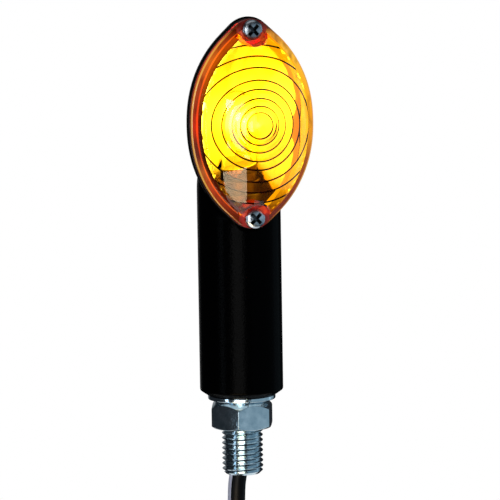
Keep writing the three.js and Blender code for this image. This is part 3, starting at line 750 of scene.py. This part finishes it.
def smooth_path(points, spacing=0.9):
    """Points at even spacing on a uniform Catmull-Rom curve through the given ones."""
    given = [np.array(p, float) for p in points]
    given = [2 * given[0] - given[1], *given, 2 * given[-1] - given[-2]]
    fine = []
    for a, b, c, d in zip(given, given[1:], given[2:], given[3:]):
        steps = max(2, int(np.linalg.norm(c - b) / 0.2))
        for t in np.linspace(0, 1, steps, endpoint=False):
            fine.append(0.5 * (2 * b + (c - a) * t + (2 * a - 5 * b + 4 * c - d) * t**2
                               + (3 * b - a - 3 * c + d) * t**3))
    fine.append(given[-2])
    fine = np.array(fine)
    along = np.concatenate([[0], np.cumsum(np.linalg.norm(np.diff(fine, axis=0), axis=1))])
    marks = np.linspace(0, along[-1], max(3, int(along[-1] / spacing)))
    return np.stack([np.interp(marks, along, fine[:, k]) for k in range(3)], 1)


def sweep(name, path, radius, sides=24, first_side=(1, 0, 0)):
    """A round tube along the path, closed by a fan at each end; side 0 starts towards first_side."""
    tangents = np.gradient(path, axis=0)
    tangents /= np.linalg.norm(tangents, axis=1)[:, None]
    across = np.array(first_side, float)
    rings = []
    for point, tangent in zip(path, tangents):
        across = across - tangent * (across @ tangent)
        across /= np.linalg.norm(across)
        other = np.cross(tangent, across)
        angles = np.linspace(0, 2 * np.pi, sides, endpoint=False)
        rings.append([tuple(point + radius * (math.cos(a) * across + math.sin(a) * other)) for a in angles])
    return loft(name, rings)


LEAD_SIDES = 36
HIGHLIGHT_SIDES = 5


def make_lead():
    path = smooth_path(lead_route())
    camera_left = (-math.cos(CAMERA_AZIMUTH), -math.sin(CAMERA_AZIMUTH), 0)
    lead = sweep("lead_jacket", path, CABLE_RADIUS, LEAD_SIDES, camera_left)
    for face in lead.data.polygons:
        side = min(v % LEAD_SIDES for v in face.vertices)
        wraps = max(v % LEAD_SIDES for v in face.vertices) - side > 1
        side = LEAD_SIDES - 1 if wraps else side
        # The last sides, towards the camera's left, take the pale finish: a painted highlight along the
        # lead's edge.
        pale = len(face.vertices) == 4 and side >= LEAD_SIDES - HIGHLIGHT_SIDES
        face.material_index = 1 if pale else 0
    settle(lead, [BLACK_VINYL, PAINTED_HIGHLIGHT_VINYL], "casing", ("cable", "cable_hank"), 60)
    return lead, path


def make_tail(wire, side, material):
    path = smooth_path([(TAIL_X + side * out, -LAYER_Y, z) for out, z in TAIL_ROUTE], 0.5)
    tail = sweep(wire + "_tail_wire", path, TAIL_RADIUS, 20)
    return settle(tail, material, "casing", (wire + "_tail",), 60)


def make_tie():
    """The nylon tie: a thin strap round the hank with its square head in front."""
    z, half_height, outer, inner = -80, 2, (16.4, 5.9), (15.4, 4.9)

    def band(half, radius, level):
        corners = ((1, 1, 0), (-1, 1, 90), (-1, -1, 180), (1, -1, 270))
        return [(sx * (half[0] - radius) + x, sy * (half[1] - radius) + y, level)
                for sx, sy, start in corners for x, y in arc(radius, start, start + 90, 7)]

    strap = loft("cable_tie_strap", [band(outer, 4.0, z - half_height), band(outer, 4.0, z + half_height)])
    cut(strap, loft("tool", [band(inner, 3.0, z - 4), band(inner, 3.0, z + 4)]))
    join(strap, bevel(block((4.2, 9.2), (-8.6, -5.4), (z - 2.6, z + 2.6)), 0.4, 3))
    cut(strap, block((3, 10), (-7.7, -6.5), (z - 1.7, z + 1.7)))
    join(strap, block((1.5, 12.5), (-7.45, -6.75), (z - 1.4, z + 1.4)))
    bevel(strap, 0.15)
    return settle(strap, TIE_NYLON, "casing", ("cable_tie",))


lead, lead_path = make_lead()
tie = make_tie()
tails = [make_tail("feed", -1, BLUE_VINYL), make_tail("ground", 1, BLACK_VINYL)]
ends = (("feed", (TAIL_X - TAIL_SPREAD, -LAYER_Y)), ("ground", (TAIL_X + TAIL_SPREAD, -LAYER_Y)))
sleeves = [lathe_piece(wire + "_sleeve_tube", SLEEVE_PROFILE, CLEAR_VINYL, "casing",
                       wire + "_sleeve", 0.3, 48, spot) for wire, spot in ends]
bullets = [lathe_piece(wire + "_bullet_turned", BULLET_PROFILE, BRASS, "casing",
                       wire + "_bullet", 0.25, 48, spot) for wire, spot in ends]

# ---- Housing ----

HOUSING_VOXEL = 0.28


def make_housing():
    radial, axial = STEM_CHAMFER
    round_off = [(STEM_RADIUS * math.sqrt(1 - share**2), STEM_TOP + share * STEM_DOME)
                 for share in np.linspace(0.1, 0.9, 9)]
    stem = [(0, 0), (STEM_RADIUS - radial, 0), (STEM_RADIUS, axial), (STEM_RADIUS, STEM_TOP), *round_off,
            (0, STEM_TOP + STEM_DOME)]
    housing = revolve("housing_casting", stem, 128)
    cut(housing, cat_eye_plate("tool", (HEAD_HALF[0] + GAP, HEAD_HALF[1] + GAP), RIM_Y, RIM_Y - 5))
    join(housing, hull("tool", HEAD_HALF, RIM_Y, HULL_BACK_Y))
    inside = (HEAD_HALF[0] - HEAD_WALL, HEAD_HALF[1] - HEAD_WALL - 0.6)
    cavity = hull("tool", inside, RIM_Y - 2, HULL_BACK_Y - HEAD_WALL)
    cut(cavity, *screw_discs(BOSS_RADIUS, BOSS_LENGTH, RIM_Y + BOSS_LENGTH))
    cut(housing, cavity,
        disc(FLANGE_SEAT[0], FLANGE_SEAT[1], FLANGE_SEAT[1] + 5),
        disc(SOCKET_BORE, FLANGE_SEAT[1], BULB_CLEARANCE_TOP),
        disc(SOCKET_BORE, SOCKET_BORE_BOTTOM, FLANGE_SEAT[1] + 1),
        disc(WIRE_BORE, STUD_TOP, SOCKET_BORE_BOTTOM + 1),
        disc(STUD_SHANK + GAP, -1, STUD_TOP + GAP),
        *screw_discs(SCREW_HOLE, 5, RIM_Y + BOSS_HOLE))
    modifier = housing.modifiers.new("remesh", "REMESH")
    modifier.mode = "VOXEL"
    modifier.voxel_size = HOUSING_VOXEL
    bake_modifiers(housing)
    soften_join(housing)
    return settle(housing, PAINT, "casing", ("housing",), 60)


def soften_join(housing):
    """Rounds the whole casting a little, and more where the stem runs into the head."""
    points = np.empty(len(housing.data.vertices) * 3)
    housing.data.vertices.foreach_get("co", points)
    points = points.reshape(-1, 3)
    off_stem = np.abs(np.hypot(points[:, 0], points[:, 1]) - STEM_RADIUS)
    depth = np.clip((points[:, 1] - HULL_START_Y) / (HULL_BACK_Y - HULL_START_Y), 0, 0.98)
    width, height = (size * np.sqrt(1 - depth**power) for size, power in zip(HEAD_HALF, HULL_POWERS))
    shape = outline_share(points[:, 0], points[:, 2], (width, height))
    near = np.clip(1 - off_stem / 1.6, 0, 1) * np.clip(1 - np.abs(shape - 1) / 0.22, 0, 1)
    near[points[:, 1] < RIM_Y + 0.8] = 0
    join_group = housing.vertex_groups.new(name="join")
    for index in np.nonzero(near > 0)[0]:
        join_group.add([int(index)], float(near[index]), "REPLACE")
    for factor, count, group in ((0.5, 3, ""), (1.0, 30, "join")):
        modifier = housing.modifiers.new("smooth", "SMOOTH")
        modifier.factor = factor
        modifier.iterations = count
        modifier.vertex_group = group
    bake_modifiers(housing)
    housing.vertex_groups.clear()


make_housing()

# ---- Lens ----

LENS_TURNS = 240


def dome_shell():
    """The outer crown: a low side wall, a rounded edge, and the crown over it."""
    edge, wall = 1.0, 0.42
    insets = [0.0, 0.0, *(edge * (1 - math.cos(a)) for a in np.linspace(0.2, math.pi / 2, 7)), 2.2]
    shares = [None, wall, *(wall + (1 - wall) * math.sin(a) for a in np.linspace(0.2, math.pi / 2, 7)), 1.0]
    insets += list(np.linspace(3.5, DOME_HALF[0] - 0.4, 12))
    shares += [1.0] * 12
    rings = []
    for inset, share in zip(insets, shares):
        scale = 1 - inset / DOME_HALF[0]
        ring = []
        for x, z in cat_eye(DOME_HALF, LENS_TURNS):
            across, level = x * scale, HEAD_Z + (z - HEAD_Z) * scale
            height = -0.4 if share is None else share * crown_height(across, level)
            ring.append((across, FLANGE_FRONT_Y - height, level))
        rings.append(ring)
    return loft("tool", rings)


def reach_of(half, angles):
    """How far the outline is from the rings' centre in each direction."""
    outline = np.array(cat_eye(half, 1440)) - np.array(RING_CENTRE)
    turn = np.unwrap(np.arctan2(outline[:, 1], outline[:, 0]))
    order = np.argsort(turn)
    return np.interp(angles, turn[order], np.hypot(outline[:, 0], outline[:, 1])[order], period=2 * np.pi)


def ring_hollow():
    """The space under the lens, its ceiling stepped in rings."""
    angles = np.linspace(0, 2 * np.pi, LENS_TURNS, endpoint=False)
    reach = reach_of(HOLLOW_HALF, angles)
    samples = []
    edges = (0.0, *RINGS, 24.0)
    for start, end in zip(edges, edges[1:]):
        inner = start + GROOVE / 2 if start else 0.02
        for share in np.linspace(0, 1, max(3, int((end - start) / 0.6))):
            radius = inner + share * (end - GROOVE / 2 - inner)
            samples.append((radius, RING_STEP * (radius - start) / (end - start)))
    rings = []
    for radius, tooth in samples:
        ring = []
        for angle, limit in zip(angles, reach):
            used = min(radius, limit)
            x, z = RING_CENTRE[0] + used * math.cos(angle), RING_CENTRE[1] + used * math.sin(angle)
            height = max(crown_height(x, z) - LENS_WALL - (tooth if radius <= limit else 0), 0.2)
            ring.append((x, FLANGE_FRONT_Y - height, z))
        rings.append(ring)
    rings.append([(x, FLANGE_BACK_Y + 1, z) for x, _, z in rings[-1]])
    return loft("tool", rings)


def screw_pockets(radius, back):
    """Tools that scoop the lens out round both screws, open towards its tips."""
    pockets = []
    for z, side in zip(SCREW_LEVELS, (1, -1)):
        pocket = facing_lens(disc(radius, 0, POCKET_DEPTH, 96), z, back)
        tip = block((-radius, radius), (back - POCKET_DEPTH, back), sorted((z, z + side * 7)))
        pockets.append(join(pocket, tip))
    return pockets


LENS_FINISHES = [AMBER, GROOVE_AMBER, FLANGE_AMBER, EDGE_AMBER, WALL_AMBER, POCKET_AMBER]
GROOVE_MARK, FLANGE_MARK, EDGE_MARK, WALL_MARK, POCKET_MARK = range(1, 6)


def make_lens():
    lens = cat_eye_plate("lens_moulding", LENS_HALF, FLANGE_BACK_Y, FLANGE_FRONT_Y, 0.35, LENS_TURNS)
    dome = cut(dome_shell(), *screw_pockets(POCKET_RADIUS, FLANGE_FRONT_Y))
    join(lens, dome)
    bevel(lens, 0.18, 3, 50)
    hollow = cut(ring_hollow(), *screw_pockets(POCKET_RADIUS + LENS_SIDE_WALL, FLANGE_BACK_Y + 2))
    cut(lens, hollow, *screw_discs(SCREW_HOLE, 5, FLANGE_BACK_Y + 1))
    mark_lens(lens)
    return settle(lens, LENS_FINISHES, "lens", ("lens",), 28)


def mark_lens(lens):
    """Gives the ring grooves, pockets, side wall, flange edge and flange their own finishes, which carry
    painted shade and painted glow.
    """
    for face in lens.data.polygons:
        x, y, z = face.center
        radius = math.hypot(x - RING_CENTRE[0], z - RING_CENTRE[1])
        dome = outline_share(x, z, DOME_HALF)
        rim = outline_share(x, z, (LENS_HALF[0] - 0.5, LENS_HALF[1] - 0.4))
        hollow = outline_share(x, z, HOLLOW_HALF)
        height, crown, slope = FLANGE_FRONT_Y - y, crown_height(x, z), face.normal.y
        inside = height > crown - LENS_WALL - 3 * RING_STEP and y < FLANGE_FRONT_Y - 0.1
        on_ring = min(abs(radius - ring) for ring in RINGS) < GROOVE * 0.45
        below_skin = height < crown - LENS_WALL / 2
        steepest = 0.9 if x > 0 else 0.5
        in_pocket = min(math.hypot(x, z - level) for level in SCREW_LEVELS) < POCKET_RADIUS + 0.06
        if inside and on_ring and below_skin and dome < 1 and abs(slope) > 0.4:
            face.material_index = GROOVE_MARK
        elif in_pocket and y < FLANGE_BACK_Y - 0.5:
            face.material_index = POCKET_MARK
        elif 0.9 < hollow < 1.03 and abs(slope) < steepest and below_skin and y < FLANGE_BACK_Y - 0.1:
            face.material_index = WALL_MARK
        elif rim > 1 and -0.97 < slope < -0.05:
            face.material_index = EDGE_MARK
        elif dome > 1 and y > FLANGE_FRONT_Y - 0.05 and slope < -0.97:
            face.material_index = FLANGE_MARK


make_lens()


def make_gasket():
    outer = (HEAD_HALF[0] - GAP, HEAD_HALF[1] - GAP)
    gasket = cat_eye_plate("gasket_sheet", outer, RIM_Y - SEAT, RIM_Y - SEAT - GASKET_THICKNESS)
    cut(gasket, cat_eye_plate("tool", (HEAD_HALF[0] - 1.8, 20.6), RIM_Y + 1, RIM_Y - 3),
        *screw_discs(SCREW_HOLE, 4, RIM_Y + 1))
    return settle(gasket, GASKET_RUBBER, "casing", ("lens_gasket",))


make_gasket()


def make_reflector():
    outer = (HEAD_HALF[0] - HEAD_WALL - GAP, HEAD_HALF[1] - REFLECTOR_MARGIN)
    inner = (outer[0] - REFLECTOR_WALL, outer[1] - REFLECTOR_WALL)
    back = HULL_BACK_Y - HEAD_WALL - 0.5
    shell = hull("reflector_shell", outer, RIM_Y + 0.1, back)
    cut(shell, hull("tool", inner, RIM_Y - 1, back - REFLECTOR_WALL),
        block((-20, 20), (-20, 20), (30, REFLECTOR_FOOT)),
        disc(SOCKET_BORE + 2 * GAP, REFLECTOR_FOOT - 1, 52.2), disc(5.1, 52, BULB_CLEARANCE_TOP),
        *screw_discs(BOSS_RADIUS + GAP, 9, RIM_Y + BOSS_LENGTH + 0.5))
    return settle(shell, MIRROR, "casing", ("reflector",))


make_reflector()

# ---- Screws ----


def make_screw(name, node, body, z):
    profile = [(0, -5.3), (0.75, -5.3), (1.25, -4.5), (1.25, 0), (2.35, 0), (2.45, 0.12), (2.45, 0.85),
               (2.36, 1.15), (2.15, 1.38), (1.8, 1.54), (1.2, 1.66), (0.6, 1.7), (0, 1.7)]
    screw = revolve(name, profile, 64)
    for angle in (45, 135):
        blade = loft("tool", [[(-a, -b, level), (a, -b, level), (a, b, level), (-a, b, level)]
                              for a, b, level in ((0.8, 0.26, 0.3), (1.9, 0.46, 1.9))])
        cut(screw, spin(blade, angle))
    # Faces in the cross recess take the darkened steel: painted shade.
    for face in screw.data.polygons:
        in_recess = 0.2 < face.center.z < 1.45 and math.hypot(*face.center.xy) < 1.85
        face.material_index = 1 if in_recess else 0
    facing_lens(screw, z, FLANGE_FRONT_Y - SEAT)
    return settle(screw, [CHROME, RECESS_SHADE], body, (node,), 25)


make_screw("upper_screw_pan_head", "upper_lens_screw", "upper_screw", SCREW_LEVELS[0])
make_screw("lower_screw_pan_head", "lower_lens_screw", "lower_screw", SCREW_LEVELS[1])

# ---- Stud, washer and nut ----

THREAD_PROFILE = [(-0.06, -0.02), (0, 0.03), (0, 0.095), (-0.06, 0.145), (-0.62, 0.48), (-0.72, 0.54),
                  (-0.72, 0.585), (-0.62, 0.645)]


def threaded_rod(name, grow, bottom, turns, columns=72):
    """A right-hand thread as one solid: rows of the profile, wound up on a helix."""
    per_turn = len(THREAD_PROFILE)
    rows = per_turn * turns
    vertices = []
    for k in range(rows + per_turn + 1):
        inward, share = THREAD_PROFILE[k % per_turn]
        radius = STUD_MAJOR + inward + grow
        for i in range(columns):
            angle = 2 * math.pi * i / columns
            z = bottom + STUD_PITCH * (k // per_turn + share + i / columns)
            vertices.append((radius * math.cos(angle), radius * math.sin(angle), z))

    def at(k, i):
        return (k + per_turn) * columns if i == columns else k * columns + i

    faces = [[at(k, i), at(k, i + 1), at(k + 1, i + 1), at(k + 1, i)]
             for k in range(rows) for i in range(columns)]
    for k, level in ((0, bottom + STUD_PITCH / 2), (rows, bottom + STUD_PITCH * (turns + 0.5))):
        edge = [at(k, i) for i in range(columns + 1)]
        edge += [at(k + step, 0) for step in range(per_turn - 1, -1, -1)]
        centre = len(vertices)
        vertices.append((0, 0, level))
        faces.extend([centre, a, b] for a, b in zip(edge, edge[1:]))
    return new_object(name, vertices, faces)


def make_stud():
    turns = math.ceil(-STUD_END / STUD_PITCH) + 2
    stud = threaded_rod("threaded_stud_rolled", 0, STUD_END - STUD_PITCH * 1.5, turns)
    profile = rounded([(0, STUD_END), (STUD_MAJOR - 0.9, STUD_END), (STUD_MAJOR + 0.05, STUD_END + 0.9),
                       (STUD_MAJOR + 0.05, 0), (0, 0)], 0.15)
    combine(stud, "INTERSECT", revolve("tool", profile, 96))
    join(stud, disc(STUD_SHANK, -STUD_PITCH, STUD_TOP, 96))
    cut(stud, disc(STUD_BORE, STUD_END - 1, STUD_TOP + 1, 96))
    return settle(stud, ZINC, "casing", ("threaded_stud",), 35)


make_stud()


def make_washer():
    low, high = (corner.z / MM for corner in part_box("lock_washer"))
    section = rounded([(5.2, low), (8.2, low), (8.2, high), (5.2, high)], 0.28)
    washer = revolve("lock_washer_ring", section, 144)
    slit = spin(spin(block((4.2, 9.2), (-0.14, 0.14), (-3, 3)), 35, "X"), -100)
    cut(washer, slit)
    return settle(washer, ZINC, "washer", ("lock_washer",))


make_washer()

NUT_FLATS = 14
NUT_TOP_FACE = 6


def make_nut():
    bottom, top = (corner.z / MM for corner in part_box("hex_nut"))
    corner = NUT_FLATS / 2 / math.cos(math.pi / 6)
    hexagon = arc(corner, NUT_TURN, NUT_TURN + 300, 6)
    nut = loft("hex_nut_body", [[(x, y, level) for x, y in hexagon] for level in (bottom, top)])
    envelope = [(0, bottom), (corner - 1.2, bottom), (corner + 0.3, bottom + 0.87),
                (corner + 0.3, top - (corner + 0.3 - NUT_TOP_FACE)), (NUT_TOP_FACE, top), (0, top)]
    combine(nut, "INTERSECT", revolve("tool", envelope, 144))
    bevel(nut, 0.16, 3, 20)
    thread = threaded_rod("tool", 0.14, bottom - STUD_PITCH * 2 + ((STUD_END - bottom) % STUD_PITCH)
                          + STUD_PITCH * 0.5, 10)
    countersinks = revolve("tool", [(0, bottom - 1), (6.3, bottom - 1), (4.4, bottom + 0.9), (4.4, top - 0.9),
                                    (6.3, top + 1), (0, top + 1)], 96)
    cut(nut, thread, countersinks)
    return settle(nut, ZINC, "nut", ("hex_nut",), 30)


make_nut()

# ---- Socket and bulb ----


def make_socket_shell():
    shell = revolve("socket_shell_tube", rounded([(4.85, 33), (5.5, 33), (5.5, 51.5), (4.85, 51.5)], 0.2), 96)
    half = 1.1
    bottom = PIN_Z - half - 1.5
    for side in (0, 180):
        for share in (0, 0.25, 0.5, 0.75, 1):
            cut(shell, spin(block((3, 7), (-half, half), (bottom, PIN_Z + half)), side + 25 * share))
        cut(shell, spin(block((3, 7), (-half, half), (bottom, 53)), side + 25))
    return settle(shell, SHADED_NICKEL, "casing", ("socket_shell",))


make_socket_shell()
lathe_piece("socket_flange_ring", [(5.6, 46.75), (7.3, 46.75), (7.3, 48.65), (5.6, 48.65)], SHADED_NICKEL, "casing",
            "socket_flange", 0.3)
lathe_piece("contact_plunger_button", [(0, 38.5), (1, 38.5), (1, 39.9), (4.4, 39.9), (4.4, 40.7), (1.6, 40.7),
                                       (1.4, 41), (0, 41)], BRASS, "plunger", "contact_plunger")


def make_bulb_cap():
    cap = revolve("bulb_cap", rounded([(0, 43.4), (3.95, 43.4), (4.55, 44), (4.55, 53.2), (4.75, 53.4),
                                       (4.75, 54.4), (0, 54.4)], 0.2), 96)
    pin = revolve("tool", rounded([(0, -5.4), (0.8, -5.4), (0.8, 5.4), (0, 5.4)], 0.15), 32)
    join(cap, shift(spin(pin, 90, "Y"), z=PIN_Z))
    return settle(cap, SHADED_NICKEL, "bulb", ("bulb_base",))


make_bulb_cap()


def make_bulb_glass():
    bottom, top, radius, wall = 54.45, 75.5, 4.35, 0.55
    outside, inside = ([(x, top - radius + z) for x, z in arc(size, 0, 90, 14)[:-1]]
                       for size in (radius, radius - wall))
    profile = [(radius - wall, bottom), (radius, bottom), *outside, (0, top)]
    ceiling = [(0, top - wall), *inside[::-1]]
    glass = revolve("bulb_envelope", profile + ceiling + [(radius - wall, bottom)], 72)
    return settle(glass, GLASS, "bulb", ("bulb_glass",), 60)


make_bulb_glass()


def make_filament():
    """Two support wires held in a glass bead, and the coil between them."""
    foot, half, turns, radius = 54.45, 1.6, 9, 0.32
    coil = []
    for t in np.linspace(0, 1, 145):
        turn = 2 * math.pi * turns * t
        coil.append((half * (2 * t - 1), radius * math.cos(turn), FILAMENT_Z + radius * math.sin(turn)))
    filament = sweep("bulb_filament_coil", np.array(coil), 0.09, 8, (0, 1, 0))
    levels = (foot, foot + 6, FILAMENT_Z + 0.3)
    routes = [smooth_path([(x, 0, z) for z in levels], 1.0) for x in (-half, half)]
    wires = [sweep("tool", route, 0.2, 12) for route in routes]
    bead = bevel(block((-2, 2), (-0.55, 0.55), (foot + 3, foot + 4.3)), 0.3, 3)
    join(filament, *wires, bead)
    return settle(filament, TUNGSTEN, "bulb", ("bulb_filament",))


make_filament()


def make_spring():
    low, high = (corner.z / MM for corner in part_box("contact_spring"))
    wire, radius, turns = 0.3, 2.6, 3.5
    circle = arc(radius, 0, 360 * turns, 150)
    heights = np.linspace(low + wire, high - wire, len(circle))
    coil = [(x, y, z) for (x, y), z in zip(circle, heights)]
    spring = sweep("contact_spring_coil", np.array(coil), wire, 12, (0, 0, 1))
    settle(spring, SPRING_STEEL, "casing", ("contact_spring",), 60)
    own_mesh(spring)


make_spring()

# The pieces below keep their CAD shape.
CARRIED_OVER = {
    "socket_insulator": FIBRE, "bulb_insulator": FIBRE, "feed_terminal": BRASS, "ground_lug": BRASS,
    "bulb_contact": SOLDER, "wire_grommet": RUBBER, "feed_wire": BLUE_VINYL, "ground_wire": BLACK_VINYL,
}
for node, material in CARRIED_OVER.items():
    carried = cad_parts[node]
    carried.data.materials.clear()
    carried.data.materials.append(material)

# ---- Floor, light and world ----

FLOOR_Z = -0.156
FLOOR_RADIUS = 0.16


def make_floor():
    pale = Shader("pale_floor", Roughness=0.7, Specular_IOR_Level=0.0, Emission_Color=(1, 1, 1, 1),
                  Emission_Strength=0.8)
    pale.vary("Base Color", 40, 2, (0.3, 0.86), (0.7, 0.9))
    ring = [(FLOOR_RADIUS * math.cos(a) / MM, FLOOR_RADIUS * math.sin(a) / MM)
            for a in np.linspace(0, 2 * np.pi, 96, endpoint=False)]
    floor = loft("floor", [[(x, y, level) for x, y in ring] for level in (FLOOR_Z / MM - 4, FLOOR_Z / MM)])
    floor.data.transform(Matrix.Scale(MM, 4))
    floor.data.materials.append(pale.material)


make_floor()

LIGHT_AIM = Vector((0, 0, 0.045))


def softbox(name, azimuth, elevation, width, height, radiance, colour=(1, 1, 1), distance=1.0, lights=True):
    """A light panel at these angles in degrees; without lights, it only shows in reflections."""
    direction = heading(math.radians(azimuth), math.radians(elevation))
    data = bpy.data.lights.new(name, "AREA")
    data.shape = "RECTANGLE"
    data.size = 2 * distance * math.tan(math.radians(width / 2))
    data.size_y = 2 * distance * math.tan(math.radians(height / 2))
    data.energy = radiance * math.pi * data.size * data.size_y
    data.color = colour
    panel = bpy.data.objects.new(name, data)
    panel.location = LIGHT_AIM + direction * distance
    panel.rotation_mode = "QUATERNION"
    panel.rotation_quaternion = direction.to_track_quat("Z", "Y")
    panel.visible_camera = False
    panel.visible_diffuse = lights
    scene.collection.objects.link(panel)


softbox("front_panel", -24, -5, 30, 24, 4.4)
softbox("glare_panel", -34, 8, 11, 9, 11.0, lights=False)
softbox("low_card", -27, -41, 31, 26, 7.6, (1.0, 0.78, 0.5), 0.25, False)
softbox("right_panel", 55, -6, 86, 60, 0.46, (0.62, 0.85, 1.0))
softbox("left_strip", -70, -6, 5, 60, 5.0, (0.75, 0.88, 1.0))
softbox("far_right_panel", 104, -6, 30, 60, 0.35, (0.62, 0.85, 1.0))
softbox("top_panel", 0, 70, 60, 40, 0.6)
softbox("back_panel", 175, 10, 40, 50, 0.25)

WORLD_SEEN = (1, 1, 1, 1)
WORLD_AROUND = (0.018, 0.02, 0.024, 1)


def make_world():
    """White behind the object, and a dim studio all round it for its reflections."""
    world = bpy.data.worlds.new("studio")
    world.use_nodes = True
    tree = world.node_tree
    seen = tree.nodes["Background"]
    seen.inputs["Color"].default_value = WORLD_SEEN
    around = tree.nodes.new("ShaderNodeBackground")
    around.inputs["Color"].default_value = WORLD_AROUND
    choice = tree.nodes.new("ShaderNodeMixShader")
    ray = tree.nodes.new("ShaderNodeLightPath")
    tree.links.new(ray.outputs["Is Camera Ray"], choice.inputs[0])
    tree.links.new(around.outputs[0], choice.inputs[1])
    tree.links.new(seen.outputs[0], choice.inputs[2])
    tree.links.new(choice.outputs[0], tree.nodes["World Output"].inputs["Surface"])
    scene.world = world


make_world()
scene.view_settings.view_transform = "Standard"
